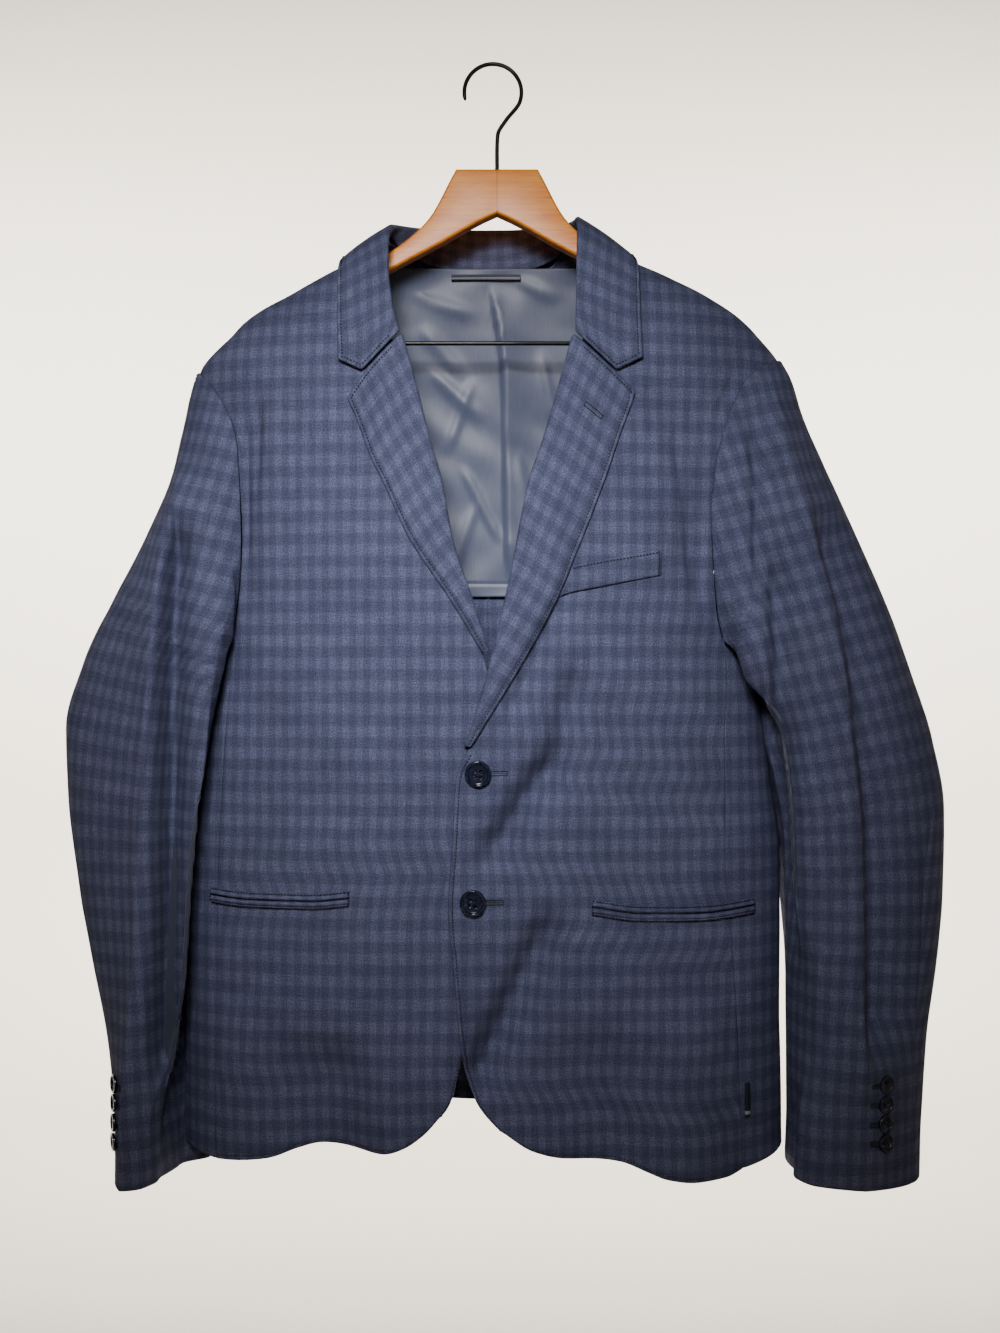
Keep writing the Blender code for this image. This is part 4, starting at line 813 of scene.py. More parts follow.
def clothRound(points, angles, side, hand, crest):   # pattern place: round a sleeve, and along its grain
    grain, (high, low) = lineX(sleeveGrain[side]), sleeveGrain[side][[0, -1], 1]
    levels = np.linspace(low, high, 500)
    lean = np.gradient(grain(levels), levels)
    length = np.cumsum(np.hypot(1, lean)) * (levels[1] - levels[0])
    x, foot = points[..., 0], points[..., 2]
    for _ in range(4):
        foot = points[..., 2] + (x - grain(foot)) * np.interp(foot, levels, lean)
    slope = np.interp(foot, levels, lean)
    axis = unit(np.stack([slope, 0 * slope, 0 * slope + 1], axis=-1))
    steps = np.diff(points, axis=1, prepend=points[:, :1])
    steps = steps - np.sum(steps * axis, axis=2, keepdims=True) * axis
    run = np.cumsum(np.linalg.norm(steps, axis=2), axis=1)
    aside = (x - grain(foot)) * np.hypot(1, slope)
    start, offset = (np.array([np.interp(crest, *lane) for lane in zip(angles, grid)])[:, None]
                     for grid in (run, aside))
    u = (offset if crest < math.pi else -offset) - hand * (run - start)
    return np.stack([u, np.interp(foot, levels, length)], axis=-1)


def folded(points, side, hand, lift=0.0):   # a sleeve's grid with its creases and hollows
    normals = gridNormals(points) * hand
    facesFront = ease(-normals[..., 1] / 0.5)
    x, _, z = np.moveaxis(points, -1, 0)
    ahead = sum(lineFold(x, z, metres(line), *fold) for line, *fold in sleeveFolds[side])
    points = points + normals * np.expand_dims(lift, -1)
    points[..., 1] -= ahead * facesFront
    return points, gridNormals(points) * hand


def sleevePiece(hand, side, part, ring):
    share = gathered(sleeves["rows"], 0.4)
    row = sleeveAt(side, share)
    elbow, inner = row["elbow"], row["inner"]
    start, stop, crest = (elbow, inner, 0.5) if part == "top" else (inner, elbow + 2 * math.pi, 1.5)
    t = np.linspace(0, 1, 240)[None, :]
    angles = (start + sleeves["seamGap"])[:, None] * (1 - t) + (stop - sleeves["seamGap"])[:, None] * t
    run = runAlong(sleeveSurface(side, share, angles, ring), 1)
    even = gathered(sleeves[part + "Cols"], 0.45)
    angles = np.array([np.interp(even, lengths / lengths[-1], row) for lengths, row in zip(run, angles)])
    points = sleeveSurface(side, share, angles, ring)
    uneven = ripple(points[..., 0] * 1.3, points[..., 2], 7.0 + hand)
    points, normals = folded(points, side, hand, sleeves["rippleHigh"] * uneven)
    points = finishedEdges(points, normals, near="seam", far="seam", top="seam", foot="edge")
    nodes = [f"{part}_sleeve_{side}{length}" for length in ("", "_forearm")[:2 if side == "left" else 1]]
    clothPiece(f"{part}_sleeve_panel_{side}", nodes, (points, normals),
               clothRound(points, angles, side, hand, math.pi * crest), woolSleeve, sleeveLining,
               turned=("near", "far", "top"))


for side, hand in handOf.items():
    ring = armholeRing(hand, side)
    for part in ("top", "under"):
        sleevePiece(hand, side, part, ring)
print("stage: sleeves made")


collar = {
    "rows": 150, "foldRadius": 0.0032, "crown": 0.0015, "wall": 0.0019,
    "notch": 1.13, "deepest": 0.59,     # its ends dip most at this share of the leaf
}
collarColumns = ("foldX", "foldY", "foldZ", "leafX", "leafY", "leafZ", "seamX", "seamY", "seamZ", "dip")
collarRows = metres((   # from the right gorge round the neck to the left one
    (-77.5, -54.5, -236.1, -127.2, -57.5, -258.5, -80.3, -49.5, -236.1, 15.5),
    (-81, -53, -224, -127.8, -56, -246, -84, -47, -224, 6),
    (-84.2, -50.5, -208, -128.6, -53, -229, -88, -43, -209, 1),
    (-87.6, -43, -183.3, -129.2, -47, -205, -92.8, -35, -183.3, 0),
    (-88.5, -24, -150.8, -130, -36.5, -179, -90.2, -18, -154.5, 0),
    (-86.2, 4, -132.7, -130.2, 0, -164, -89, 4, -142.5, 0),
    (-69.1, 33, -125.5, -118, 38.5, -176, -72, 30, -152.5, 0),
    (-40, 44, -123.5, -64, 48, -179, -40, 37, -160.5, 0), (-8, 46, -123.5, -8, 50, -179, -8, 38.5, -162, 0),
    (24, 43, -123.5, 48, 48, -178, 24, 37, -160.5, 0), (50, 32, -125, 103, 38.5, -173, 54.5, 31, -149.5, 0),
    (65.5, 4, -127, 115, 0, -162, 71, 4, -135.5, 0), (65.5, -28, -145, 115.7, -39, -179, 71.2, -21, -149, 0),
    (64.5, -40, -172, 115.8, -46, -200, 73.2, -33, -173, 0),
    (63.6, -50.5, -205, 116, -52.5, -225, 73.5, -44, -206, 1),
    (63, -54, -223, 116.6, -55.5, -244, 71.2, -47.5, -223, 6),
    (62.7, -55.5, -236.9, 117, -57.5, -256.9, 68.2, -51, -236.9, 15.5)
))


def makeCollar():
    at = gathered(collar["rows"], 0.5) * (len(collarRows) - 1)
    row = rowsAt(at, collarColumns, collarRows.T)
    fold, leaf, seam = (placeOf(row, part) for part in ("fold", "leaf", "seam"))
    up = unit(fold - (leaf + seam) / 2)
    over = leaf - seam
    over = unit(over - up * np.sum(over * up, axis=1, keepdims=True))
    radius, deepest = collar["foldRadius"], collar["deepest"]
    middle = fold - up * radius
    sections = [seam + (middle - over * radius - seam) * t for t in np.linspace(0, 0.9, 8)]
    sections += [middle + radius * (over * math.cos(turn) + up * math.sin(turn))
                 for turn in np.linspace(math.pi, 0, 11)]
    for t in 1 - (1 - np.linspace(0.05, 1, 26)) ** 1.25:
        place = middle + over * radius + (leaf - middle - over * radius) * t
        place = place + over * collar["crown"] * math.sin(math.pi * t)
        place[:, 2] -= row["dip"] * collar["notch"] * min(t / deepest, (1 - t) / (1 - deepest), 0.97)
        sections.append(place)
    points = np.stack(sections, axis=1)
    normals = gridNormals(points)
    if np.dot(normals[collar["rows"] // 2, 14], up[collar["rows"] // 2]) < 0:
        normals = -normals
    points = finishedEdges(points, normals, top="edge", foot="edge", far="stitched")
    run = edgeDistances(points)
    along = np.mean(run["top"], axis=1, keepdims=True) + 0 * run["top"]
    clothPiece("collar_cloth", ["collar"], (points, normals), np.stack([run["far"], along], axis=-1),
               woolCollar, wall=collar["wall"])
    return points, normals


collarSkin = makeCollar()
print("stage: collar made")


lapels = {
    "cells": (130, 46),
    "lift": 0.0028, "low": -0.0024,     # m off the body, of the facing and of where its roll starts
    "crown": 0.0030,
    "roundOut": 0.0026,     # m, how far the roll stands out past its line
}
rollLine = bothSides((
    (-77.8, -238.5), (-65.3, -284.7), (-55.7, -323.7), (-46.1, -356), (-37.3, -403.8), (-21.4, -451.6),
    (-8.5, -493)
), (
    (62.5, -239.5), (56, -264), (47.1, -296.2), (36.8, -330.5), (28, -356), (10.5, -443.6), (-13.4, -539.3),
    (-23.5, -568)
))
lapelEdge = bothSides((
    (-119.6, -290.3), (-110.9, -310.2), (-99.7, -340), (-91.7, -355.7), (-69.3, -403.6), (-37.4, -451.5),
    (-12.5, -493)
), (
    (111.1, -285), (106.3, -299.1), (99.1, -318.2), (86.3, -355.7), (50.4, -443.5), (2.5, -531.3),
    (-19.5, -568)
))
gorge = bothSides((
    (-77.8, -238.5), (-105.3, -270), (-119.6, -290.3)
), (
    (62.5, -239.5), (95, -270), (111.1, -285)
))


def makeLapel(hand, side):
    rows, cols = lapels["cells"]
    v, u = gathered(rows, 0.5), gathered(cols, 0.5)
    roll, edge = rollLine[side], lapelEdge[side]
    x, z = patch(*(pathThrough(line) for line in (gorge[side], (roll[-1], edge[-1]), roll, edge)), v, u)
    lap = lapUnder(x) * (hand < 0)
    crown = lapels["crown"] * np.sin(math.pi * (0.15 + 0.85 * u[None])) * (1 - 0.6 * v[:, None])
    points = onBody(x, z, front, lapels["lift"] + crown + lap)[0]
    root, rootNormal = onBody(x[:, 0], z[:, 0], front, lap[:, 0])
    outward = np.cross(unit(np.gradient(root, axis=0)), rootNormal)
    outward = outward * np.sign(outward[:, :1]) * -hand
    low, reach = lapels["low"], lapels["lift"] + crown[:, 0]
    bend = []
    for turn in np.linspace(-math.pi / 2, math.pi / 2, 12)[:-1]:
        rise = (low + reach) / 2 + (reach - low) / 2 * math.sin(turn)
        bend.append(root + rootNormal * rise[:, None] + outward * lapels["roundOut"] * math.cos(turn))
    points = np.concatenate([np.stack(bend, axis=1), points], axis=1)
    normals = gridNormals(points)
    if normals[rows // 2, points.shape[1] // 2, 1] > 0:
        normals = -normals
    points = finishedEdges(points, normals, far="stitched", top="edge")
    far = edgeDistances(points)["far"]
    clothPiece(f"lapel_facing_{side}", [f"lapel_{side}"], (points, normals),
               np.stack([far * hand, z[:, -1:] / 0.86 + 0 * far], axis=-1), woolCollar, wall=collar["wall"],
               restsOn=f"front_panel_{side}")
    return points, normals


lapelSkin = {side: makeLapel(hand, side) for side, hand in handOf.items()}
print("stage: lapels made")


pockets = {
    "lift": 0.0022, "wall": 0.0014,
    "breast": metres(((60.5, -424), (131, -410.9), (49, -448), (131, -431.6))),
    "hip": bothSides(((-117.2, -689.5), (-150, -692.5), (-200, -692.5), (-233, -690.5)),
                     ((75.1, -696), (115, -701.5), (165, -702.5), (209, -699))),
    "weltHigh": 0.0062,
    "slit": 0.0005,         # m, half the gap between a pocket's two welts
    "puff": 0.0009,
    "rim": 0.70,            # of a welt's height, where its flat outer rim starts
    "dent": 0.0007, "shift": (0.0031, 0.0043),      # m, the rim's valley, and the welt's check off the body's
}


def trim(name, nodes, corners, side, lift, wall, material, cells, finish, **options):
    # a flat piece laid on the body
    v, u = gathered(cells[0], 0.5), gathered(cells[1], 0.6)
    x, z = fourSided(corners, v, u)
    swell = pockets["puff"] * np.sin(math.pi * v)[:, None] * np.sin(math.pi * u)[None] ** 0.4
    points, normals = onBody(x, z, side, lift + swell * (side == front))
    points = finishedEdges(points, normals, **finish)
    clothPiece(name, nodes, (points, normals), clothAcross(points, x[:, :1]), material, wall=wall, **options)
    return points, normals


def hipPocket(side):
    line = pathThrough(pockets["hip"][side])(gathered(90, 0.6))
    share = gathered(22, 0.3)[:, None]
    puff = pockets["puff"] * np.sin(math.pi * np.clip(share / pockets["rim"], 0, 1) ** 0.8)
    puff = puff - pockets["dent"] * bell((share - pockets["rim"]) / 0.07)
    skins = {}
    for name, above in (("upper", 1), ("lower", -1)):
        z = line[:, 1] + above * (pockets["slit"] + share * (pockets["weltHigh"] - pockets["slit"]))
        x = line[:, 0] + 0 * z
        points, normals = onBody(x, z, front, pockets["lift"] + puff + lapUnder(x) * (x < 0))
        points = finishedEdges(points, normals, top="edge", foot="seam", near="edge", far="edge")
        clothPiece(f"hip_pocket_{name}_{side}", [f"hip_welt_{name}_{side}"], (points, normals),
                   clothAcross(points, x[:, :1], handOf[side]) + pockets["shift"], woolCollar,
                   wall=pockets["wall"], restsOn=f"front_panel_{side}")
        skins[name] = points, normals
    return skins


breastSkin = trim("breast_pocket_welt", ["breast_welt"], pockets["breast"], front, pockets["lift"],
                  pockets["wall"], woolCollar, (26, 80),
                  {"top": "edge", "foot": "seam", "near": "seam", "far": "edge"}, restsOn="front_panel_left")
hipSkin = {side: hipPocket(side) for side in handOf}
print("stage: pockets made")


lining = {
    "depth": 0.0044, "wall": 0.0012,
    "corners": metres(((-99, -160), (90, -160), (-112, -444), (98, -444))),
    "loopCorners": metres(((-40, -165), (20.5, -165), (-40, -170), (20.5, -170))),
    "loopLift": -0.0086,        # m, inside the lining and a little slack
    "pleat": metres(((-8, -164), (2.5, -217.7), (6, -250), (8.6, -377.5), (12.1, -444))),
    "pleatWide": (0.0012, 0.0170), "pleatDepth": 0.0055, "pleatSharp": 1.3,
    "wrinkle": 0.0007,
    "hemRidge": (0.0006, -0.4325, 0.0009),      # m, its height, place and width
    "creases": {back: metres((    # as the body's folds
        (-33, -325, 5, -400, 3.6, -1.6), (-62, -243, -10, -292, 5, -1.6), (-20, -250, -46, -323, 4, -1.4),
        (37, -225, 52, -300, 4.4, -1.5), (10, -164, 56, -188, 5, -1.4), (-84, -179, -15, -201, 6, -1.4),
        (-17, -356, -42, -430, 4.2, -1.4), (-70, -205, -25, -256, 7, -1.6), (17, -310, 32, -410, 4.8, -1.4)
    ))},
}


def makeLining():
    x, z = fourSided(lining["corners"], gathered(150, 0.3), gathered(100, 0.3))
    pleat = lineFold(x, z, lining["pleat"], *lining["pleatWide"], lining["pleatDepth"], lining["pleatSharp"])
    slack = 1.6 + ripple(x * 0.55 + 0.2 * z, z * 1.3, 11.0) + 0.5 * np.sin(x * 95 + 8 * np.sin(z * 21))
    high, hemZ, wide = lining["hemRidge"]
    detail = high * bell((z - hemZ) / wide) + foldDepth(x, z, back, lining["creases"], 0.022)
    skin = onBody(x, z, back, detail - lining["depth"] - pleat - lining["wrinkle"] * slack)
    clothPiece("lining_back", ["back_lining"], skin, clothAcross(skin[0], x[:, :1]), bodyLining,
               wall=lining["wall"], slot="lining")


makeLining()
trim("hanging_loop", ["hanger_loop"], lining["loopCorners"], back, lining["loopLift"], lining["wall"],
     sleeveLining, (8, 60), {"top": "edge", "foot": "edge"}, slot="lining", restsOn="lining_back")
print("stage: lining made")


tab = {"left": 0.2005, "right": 0.2052, "top": -0.8420, "foot": -0.8710,
       "bar": (0.0052, 0.0014),     # m, from the foot to the bar's middle, and half its height
       "lift": 0.0016, "wall": 0.0010, "tape": "#171a29", "pale": "#8f94a6"}


def wovenTab():   # a folded woven tape, drawn as one flat piece: one pale bar, nothing written
    material, tree, shader = plainMaterial("woven tab tape", tab["tape"], 0.8)
    axes = addNode(tree, "SeparateXYZ", {0: addNode(tree, "UVMap", {"uv_map": "cloth"})}, None)
    bar = calc(tree, "COMPARE", axes[1], tab["foot"] + tab["bar"][0], tab["bar"][1])
    setUp(tree, shader, {"Base Color": blend(tree, bar, tab["tape"], tab["pale"])})
    corners = [(tab[x], tab[z]) for z in ("top", "foot") for x in ("left", "right")]
    trim("woven_side_tab", ["side_tab"], corners, front, tab["lift"], tab["wall"], material, (40, 10),
         dict.fromkeys(edgeMoves, "edge"), slot="tab", restsOn="front_panel_left")


wovenTab()


threads = {
    # near-black navy: partly the thread's own dark colour, partly painted shade of the stitch holes, so
    # stitch rows show as dark dots
    "colour": "#10131f",
    "pitch": 0.0027,        # m, from one stitch to the next
    "size": (0.0018, 0.0013, 0.0011),       # m, long, wide and high
    "inset": 0.0042, "breastInset": 0.0030,
    "reach": 0.0006,        # m, over which a stitch takes its line's direction
    "from": {"left": -0.570, "right": -0.780},      # m, below it a front's edge stitching shows
    "apart": (0.004, 0.006),        # m, from the corner, of the edge's last stitch and the hem's first
    "raised": 0.0006,       # m, how far a stitch's middle stands off the cloth
}
threadMaterial = plainMaterial("polyester sewing thread", threads["colour"], 0.55)[0]


def insetLine(skin, edge, distance=threads["inset"]):   # a line on a sheet, a set way in from one edge
    run, both = edgeDistances(skin[0])[edge], np.concatenate(skin, axis=-1)
    if edge in ("top", "foot"):
        run, both = run.T, crossed(both)
    orders = np.argsort(run, axis=1)
    return np.array([[np.interp(distance, distances[order], column) for column in row[order].T]
                     for distances, row, order in zip(run, both, orders)])


def stitchRow(name, line):   # places and normals, a row of the table to each
    run = runAlong(line[:, :3])
    at = np.arange(0.001, run[-1] - 0.001, threads["pitch"])
    reach = threads["reach"]

    def along(at):
        return np.stack([np.interp(at, run, column) for column in line.T], axis=1)

    normal = unit(along(at)[:, 3:])
    ahead = unit((along(at + reach) - along(at - reach))[:, :3])
    beside = unit(np.cross(normal, ahead))
    place = along(at)[:, :3] + normal * threads["raised"]
    long, wide, high = threads["size"]
    seats = np.stack([ahead * long, beside * wide, normal * high, place], axis=2)
    beads = bmesh.new()
    for seat in seats.tolist():
        bmesh.ops.create_icosphere(beads, subdivisions=1, radius=0.5, matrix=Matrix([*seat, [0, 0, 0, 1]]))
    settle(meshObject(name, beads, threadMaterial), "wool")


def edgeStitches():
    for side, skin in frontSkin.items():
        line, foot = insetLine(skin, "near"), insetLine(skin, "foot")
        last, first = threads["apart"]
        shown = (line[:, 2] < threads["from"][side]) & (line[:, 2] > line[-1, 2] + last)
        away = np.abs(foot[:, 0] - skin[0][-1, 0, 0]) > first
        stitchRow(f"front_edge_stitches_{side}", np.concatenate([line[shown], foot[away]]))
        stitchRow(f"lapel_edge_stitches_{side}", insetLine(lapelSkin[side], "far")[6:])
        stitchRow(f"lapel_top_stitches_{side}", insetLine(lapelSkin[side], "top")[22:-4])
    stitchRow("collar_leaf_stitches", insetLine(collarSkin, "far")[3:-3])
    for name, edge in (("right", "top"), ("left", "foot")):
        stitchRow(f"collar_end_stitches_{name}", insetLine(collarSkin, edge)[20:-4])
    for edge in ("top", "far"):
        stitchRow(f"breast_welt_stitches_{edge}", insetLine(breastSkin, edge, threads["breastInset"])[2:-2])
    for side, skins in hipSkin.items():
        for name, skin in skins.items():
            for tag, edge, away in (("", "foot", 0.0010), ("near_", "near", 0.0012), ("far_", "far", 0.0012)):
                stitchRow(f"hip_pocket_{tag}stitches_{name}_{side}", insetLine(skin, edge, away)[1:-1])


edgeStitches()
print("stage: stitching made")


buttons = {
    "front": ((-0.0150, -0.5900), (-0.0190, -0.6925)),
    "frontWide": 0.0214, "cuffWide": 0.0145,
    "thick": 0.0040,        # m, of a front button; a cuff one is thinner by its width
    "lift": 0.0004,
    "rings": 44, "spokes": 96,
    "holeAt": 0.205059,     # of the radius, from the middle across and up to a hole's own middle
    "holeWide": 0.116,
    "underside": ((0.0, 0.0), (0.70, 0.0), (0.90, 0.12), (0.98, 0.26), (1.0, 0.42)),
    "cuffTurn": {"right": 60.0, "left": 62.0},
    "cuffTop": -0.8360, "cuffPitch": 0.0155,
    "resin": ("#0a0f22", "#18203c"),
}
buttonMaterial, tree, shader = plainMaterial("polished resin button", buttons["resin"][0], 0.16, 0.0, 0.4)
swirl = addNode(tree, "TexNoise", {"Scale": 180.0, "Detail": 3.0, "Distortion": 1.2,
                                   "Vector": addNode(tree, "TexCoord", out="Object")})
setUp(tree, shader, {"IOR": 1.54, "Base Color": blend(tree, swirl, *buttons["resin"])})


def holeDepth(x, y):   # of the four thread holes, 1 at their floors; x and y in radii
    reach = np.hypot(abs(x) - buttons["holeAt"], abs(y) - buttons["holeAt"])
    return float(ease((buttons["holeWide"] - reach) / 0.045 + 0.5))


def makeButton(name, node, place, facing, wide, lean=0.0):
    radius, thick = wide / 2, buttons["thick"] * wide / buttons["frontWide"]
    profile = [*buttons["underside"]]
    for r in np.linspace(0.995, 0.0, buttons["rings"]):
        rim = 0.62 + 0.38 * ease((r - 0.70) / 0.09) - 0.45 * ease((r - 0.93) / 0.07) ** 2
        profile.append((r, float(rim + 0.10 * (min(r / 0.7, 1) ** 2 - 1))))
    shape = turnedShape([(r * radius, up * thick) for r, up in profile], buttons["spokes"])
    for vert in shape.verts:
        if vert.co.z > thick * 0.4:
            vert.co.z -= 0.42 * thick * holeDepth(vert.co.x / radius, vert.co.y / radius)
    out = Vector(facing.tolist()).normalized()
    across = out.cross(Vector((0, 0, 1))).normalized()
    turn = Matrix((across, across.cross(out), out)).transposed().to_4x4() @ Matrix.Rotation(lean, 4, "Z")
    seat = Matrix.Translation(place.tolist()) @ turn
    bmesh.ops.transform(shape, matrix=seat, verts=shape.verts)
    settle(meshObject(name, shape, buttonMaterial), "button", node)
    away = buttons["holeAt"] * radius
    for k, hand in enumerate((1, -1)):
        line = [seat @ Vector((away * t, away * t * hand, thick * (0.66 + 0.06 * k - 0.30 * abs(t) ** 5)))
                for t in np.linspace(-1, 1, 11)]
        tube(f"{name}_thread_{k}", line, wide * 0.016, threadMaterial, "button")


def cuffGrid(side, turns):   # a sleeve's lower part, some degrees on from where its buttons sit
    angles = np.tile(np.radians(buttons["cuffTurn"][side] + turns), (240, 1))
    hand = handOf[side]
    return folded(sleeveSurface(side, np.linspace(0.7, 1, 240), angles, armholeRing(hand, side)), side, hand)


def cuffRow(grid, k):   # where the k-th button sits
    return int(np.argmin(np.abs(grid[:, 0, 2] - buttons["cuffTop"] + k * buttons["cuffPitch"])))


for name, (x, z) in zip(("top", "low"), buttons["front"]):
    makeButton(f"front_button_{name}", f"button_front_{name}", *onBody(x, z, front, buttons["lift"]),
               buttons["frontWide"], 0.15)
for side in handOf:
    grid, facing = cuffGrid(side, np.degrees([0, 1e-3]))
    for k in range(4):
        at = cuffRow(grid, k)
        makeButton(f"cuff_button_{side}_made_{k + 1}", f"cuff_button_{side}_{k + 1}",
                   grid[at, 0] + facing[at, 0] * buttons["lift"], facing[at, 0], buttons["cuffWide"], 0.3 * k)
print("stage: buttons made")


holes = {
    "thread": 0.00036,      # m, radius of the worked edge
    "half": 0.0017,         # m, from the slit to the worked edge's middle
    "slit": (0.0003, 0.00022),          # m, how deep its dark line lies, and the line's radius; the line is a thin dark thread tube, painted shade of the cut
    "lift": (0.0004, 0.0010),   # m off the body's own surface: the lapping edge stands off at the lower one
    "front": metres((((-6, -589.5), (8.5, -589.5)), ((-9.5, -692), (5.2, -691.8)))),
    "lapel": metres(((69.9, -295.6), (83.4, -306.7))), "lapelLift": 0.0004,
    "cuff": (0.0065, 0.0150), "cuffLift": 0.0008,       # m round the sleeve from the button, and off it
}


def bothWays(line, beside):   # out along one side of a line and back along the other
    return np.concatenate([line + beside, (line - beside)[::-1]])


def workedHole(name, loop, slit=None):   # stitches packed side by side round a slit
    beads = holes["thread"] * (1 + 0.22 * np.sin(np.arange(len(loop)) * 2.4))
    tube(name, loop, beads, threadMaterial, "wool", closed=True)
    # the slit: a thin dark thread line sunk between the worked edges, painted shade of the cut
    if slit is not None:
        tube(f"{name}_slit", slit, holes["slit"][1], threadMaterial, "wool")


def frontHole(name, start, stop, lift):
    line = np.linspace(start, stop, 34)
    across, up = stop - start
    loop = bothWays(line, unit(np.array([-up, across])) * holes["half"])
    slit, normals = onBody(line[:, 0], line[:, 1], front, lift)
    workedHole(name, onBody(loop[:, 0], loop[:, 1], front, lift)[0], slit - normals * holes["slit"][0])


def lapelHole():
    skin, normals = (grid.reshape(-1, 3) for grid in lapelSkin["left"])
    line = np.linspace(*holes["lapel"], 30)
    nearest = np.argmin(np.linalg.norm(line[:, None] - skin[None, :, (0, 2)], axis=2), axis=1)
    facing = unit(normals[nearest].mean(axis=0))
    height = np.polyval(np.polyfit(np.arange(30), skin[nearest, 1], 1), np.arange(30))
    line = np.stack([line[:, 0], height, line[:, 1]], axis=1) + facing * holes["lapelLift"]
    workedHole("lapel_buttonhole", bothWays(line, unit(np.cross(facing, line[-1] - line[0])) * holes["half"]))


def cuffHoles(side):
    grid, facing = cuffGrid(side, np.linspace(0, 24, 60))
    middle = 20
    for k in range(4):
        at = cuffRow(grid, k)
        run, out = runAlong(grid[at]), facing[at, middle]
        shown = (run > holes["cuff"][0]) & (run < holes["cuff"][1])
        line = pathThrough(grid[at, shown] + out * holes["cuffLift"])(np.linspace(0, 1, 26))
        down = unit(grid[at + 1, middle] - grid[at, middle]) * holes["half"]
        workedHole(f"cuff_buttonhole_{side}_{k}", bothWays(line, down), line - out * holes["slit"][0])


for k, (start, stop) in enumerate(holes["front"]):
    frontHole(f"front_buttonhole_{k}", start, stop, holes["lift"][k])
lapelHole()
for side in handOf:
    cuffHoles(side)
print("stage: buttonholes made")


hanger = {
    "thick": 0.014, "edge": 0.0022,
    "top": metres((
        (0, -88.6), (34.3, -88.6), (41.2, -101.5), (47.1, -113.3), (58, -131), (84.1, -154), (129.5, -180.5),
        (173.2, -199.5), (198, -215), (207.5, -224.5)
    )),
    "under": metres((
        (208.5, -233), (204, -240.5), (180, -227), (140, -203), (89.1, -173), (45, -149.5), (15, -132.5),
        (0, -125.5)
    )),
    "wire": 0.0036, "barZ": -0.2330, "barHalf": 0.1860,
    "hookMiddle": (-0.0035, -0.0222), "hookRadius": 0.0240, "hookFrom": -22.0, "hookTo": 196.0,
    "stem": ((0.0, 0.0, -0.0883), (0.0, 0.0, -0.0700), (0.0006, 0.0, -0.0580), (0.0072, 0.0, -0.0460)),
    "hookEnd": (0.95, 0.8, 0.45),
    "wood": ("#e87600", "#ffa824"),
    "grainSlope": -30,      # degrees, along each arm
    "grains": ((14, 260, 260), (120, 900, 900)),    # streaks and flecks to a metre, along and across an arm
    "joint": 0.00035,       # m, half the dark line between the arms
}


def woodMaterial():   # lacquered beech: short fine grain along each arm, and a soft gloss
    material, tree, shader = newMaterial("lacquered beech")
    axes = addNode(tree, "SeparateXYZ", {0: addNode(tree, "TexCoord", out="Object")}, None)
    half = calc(tree, "ABSOLUTE", axes[0])
    arm = addNode(tree, "CombineXYZ", {0: half, 1: axes[1], 2: axes[2]})
    slope = (0, math.radians(hanger["grainSlope"]), 0)
    turned, small = (addNode(tree, "Mapping", {0: arm, "Rotation": slope, "Scale": scale})
                     for scale in hanger["grains"])
    grain = addNode(tree, "TexNoise", {"Scale": 1.0, "Detail": 5.0, "Roughness": 0.6, "Distortion": 0.5,
                                       "Vector": turned})
    fleck = remap(tree, noise(tree, small, 1.0, 1.0), 0.56, 0.70, 1.0, 0.86)
    tone = blend(tree, remap(tree, grain, 0.32, 0.68), *hanger["wood"])
    joint = calc(tree, "COMPARE", half, 0.0, hanger["joint"])
    shade = calc(tree, "MULTIPLY", calc(tree, "MULTIPLY_ADD", joint, -0.55, 1.0), fleck)
    setUp(tree, shader, {
        "Base Color": addNode(tree, "VectorMath", {"operation": "SCALE", 0: tone, "Scale": shade}),
        "Roughness": 0.42, "Coat Weight": 0.12, "Coat Roughness": 0.22})
    return material


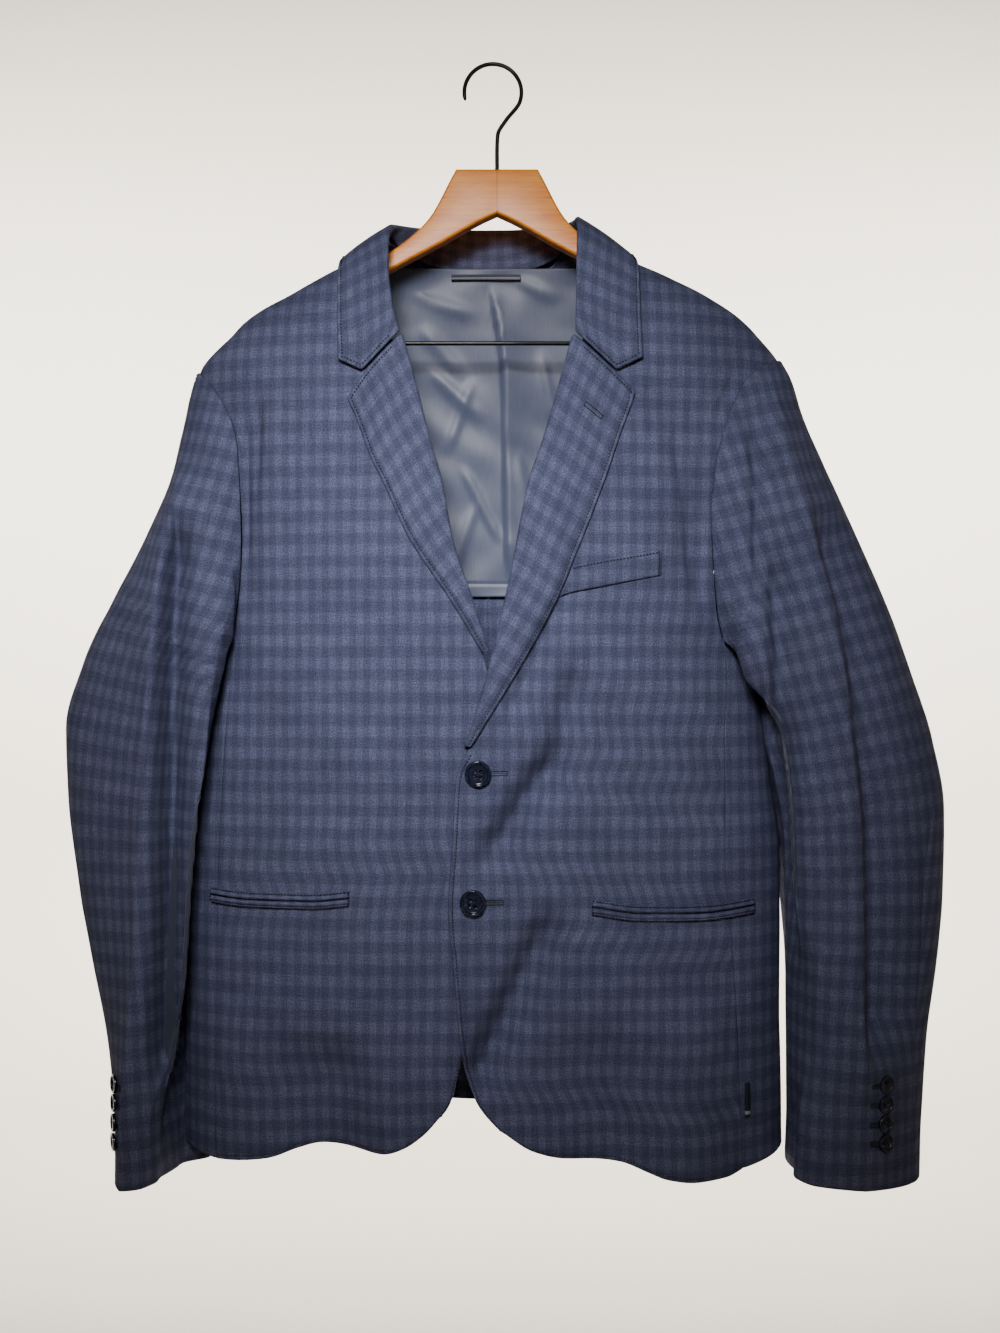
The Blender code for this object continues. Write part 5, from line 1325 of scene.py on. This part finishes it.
def makeHanger():
    steps = np.linspace(0, 1, 40)
    outline = np.concatenate([hanger["top"][:2], pathThrough(hanger["top"][1:])(steps)[1:],
                              pathThrough(hanger["under"])(steps)])
    outline = np.concatenate([outline, outline[::-1][1:-1] * (-1, 1)])
    board = bmesh.new()
    depth = hanger["thick"]
    face = board.faces.new([board.verts.new((x, -depth / 2, z)) for x, z in outline])
    made = bmesh.ops.extrude_face_region(board, geom=[face])
    moved = [item for item in made["geom"] if isinstance(item, bmesh.types.BMVert)]
    bmesh.ops.translate(board, vec=(0, depth, 0), verts=moved)
    rim = [edge for edge in board.edges if abs(edge.verts[0].co.y - edge.verts[1].co.y) < 1e-6]
    bmesh.ops.bevel(board, geom=rim, offset=hanger["edge"], segments=5, profile=0.5, affect="EDGES",
                    material=-1)
    bmesh.ops.triangulate(board, faces=[face for face in board.faces if len(face.verts) > 4])
    bmesh.ops.recalc_face_normals(board, faces=board.faces)
    piece = meshObject("hanger_board", board, woodMaterial())
    piece.data.set_sharp_from_angle(angle=math.radians(38))
    settle(piece, "beech", "hanger_wood")
    metal = plainMaterial("black lacquered steel wire", "#101012", 0.32, 0.6, 0.2)[0]
    bar = [(x, 0, hanger["barZ"]) for x in np.linspace(-hanger["barHalf"], hanger["barHalf"], 5)]
    tube("hanger_cross_bar", bar, hanger["wire"] / 2, metal, "black_steel", "hanger_bar", resolution=6)
    (middleX, middleZ), radius = hanger["hookMiddle"], hanger["hookRadius"]
    arc = [(middleX + radius * math.cos(t), 0.0, middleZ + radius * math.sin(t))
           for t in np.radians(np.linspace(hanger["hookFrom"], hanger["hookTo"], 40))]
    line = pathThrough([*hanger["stem"], *arc])(np.linspace(0, 1, 110))
    wire = np.full(len(line), hanger["wire"] / 2)
    wire[-3:] *= hanger["hookEnd"]
    tube("hanger_wire_hook", line, wire, metal, "black_steel", "hanger_hook", resolution=6)


makeHanger()
print("stage: hanger made")


studio = {   # stage, light and camera
    "wall": "#a39c90",
    "radius": 4.2, "floorZ": -1.90, "coveRadius": 0.9, "wallTop": 2.4,
    "key": 1.62, "fill": 0.5, "back": 460.0, "world": 0.02, "sky": "#b4c4f0",
    "camera": (0.0025, -1.15, -0.5046),
    "lens": 1368 / 1333,    # focal length over image height, as the view shows the garment
}


def makeStage():
    material, tree, shader = plainMaterial("matt painted backdrop", studio["wall"], 0.9)
    setUp(tree, shader, {"Specular IOR Level": 0.1})
    reach, low, cove = studio["radius"], studio["floorZ"], studio["coveRadius"]
    outline = [(0.001, low), (reach - cove, low)]
    outline += [(reach - cove + cove * math.cos(turn), low + cove + cove * math.sin(turn))
                for turn in np.radians(np.linspace(-80, 0, 9))]
    room = turnedShape([*outline, (reach, studio["wallTop"])], 96)
    bmesh.ops.reverse_faces(room, faces=room.faces)
    meshObject("backdrop", room, material)


def areaLight(name, place, target, size, power, tint=(1, 1, 1), spread=180):
    lamp = bpy.data.lights.new(name, "AREA")
    lamp.spread = math.radians(spread)
    lamp.shape = "RECTANGLE"
    lamp.size, lamp.size_y = size
    lamp.energy = power
    lamp.color = tint
    thing = addObject(name, lamp)
    thing.location = place
    thing.rotation_euler = (Vector(target) - Vector(place)).to_track_quat("-Z", "Y").to_euler()


makeStage()
world = bpy.data.worlds.new("soft daylight")
world.use_nodes = True
setUp(world.node_tree, world.node_tree.nodes["Background"],
      {"Color": colour(studio["sky"]), "Strength": studio["world"]})
bpy.context.scene.world = world
areaLight("key", (-0.12, -1.10, 0.06), (-0.05, -0.06, -0.43), (0.30, 0.26), studio["key"],
          (1.0, 0.985, 0.96), 50)
areaLight("fill", (0.9, -1.9, 0.3), (0.0, 0.0, -0.5), (0.40, 0.40), studio["fill"], (0.80, 0.89, 1.0))
for x in (-1.7, 1.7):
    areaLight(f"backdrop {x}", (x, 1.3, 0.9), (0.45 * x, 4.1, -0.5), (1.8, 1.8), studio["back"], spread=125)

camera = bpy.data.cameras.new("camera")
camera.sensor_fit = "VERTICAL"
camera.sensor_height = 36.0
camera.lens = 36.0 * studio["lens"]
viewer = addObject("camera", camera)
viewer.location = studio["camera"]
viewer.rotation_euler = (math.radians(90), 0, 0)
bpy.context.scene.camera = viewer
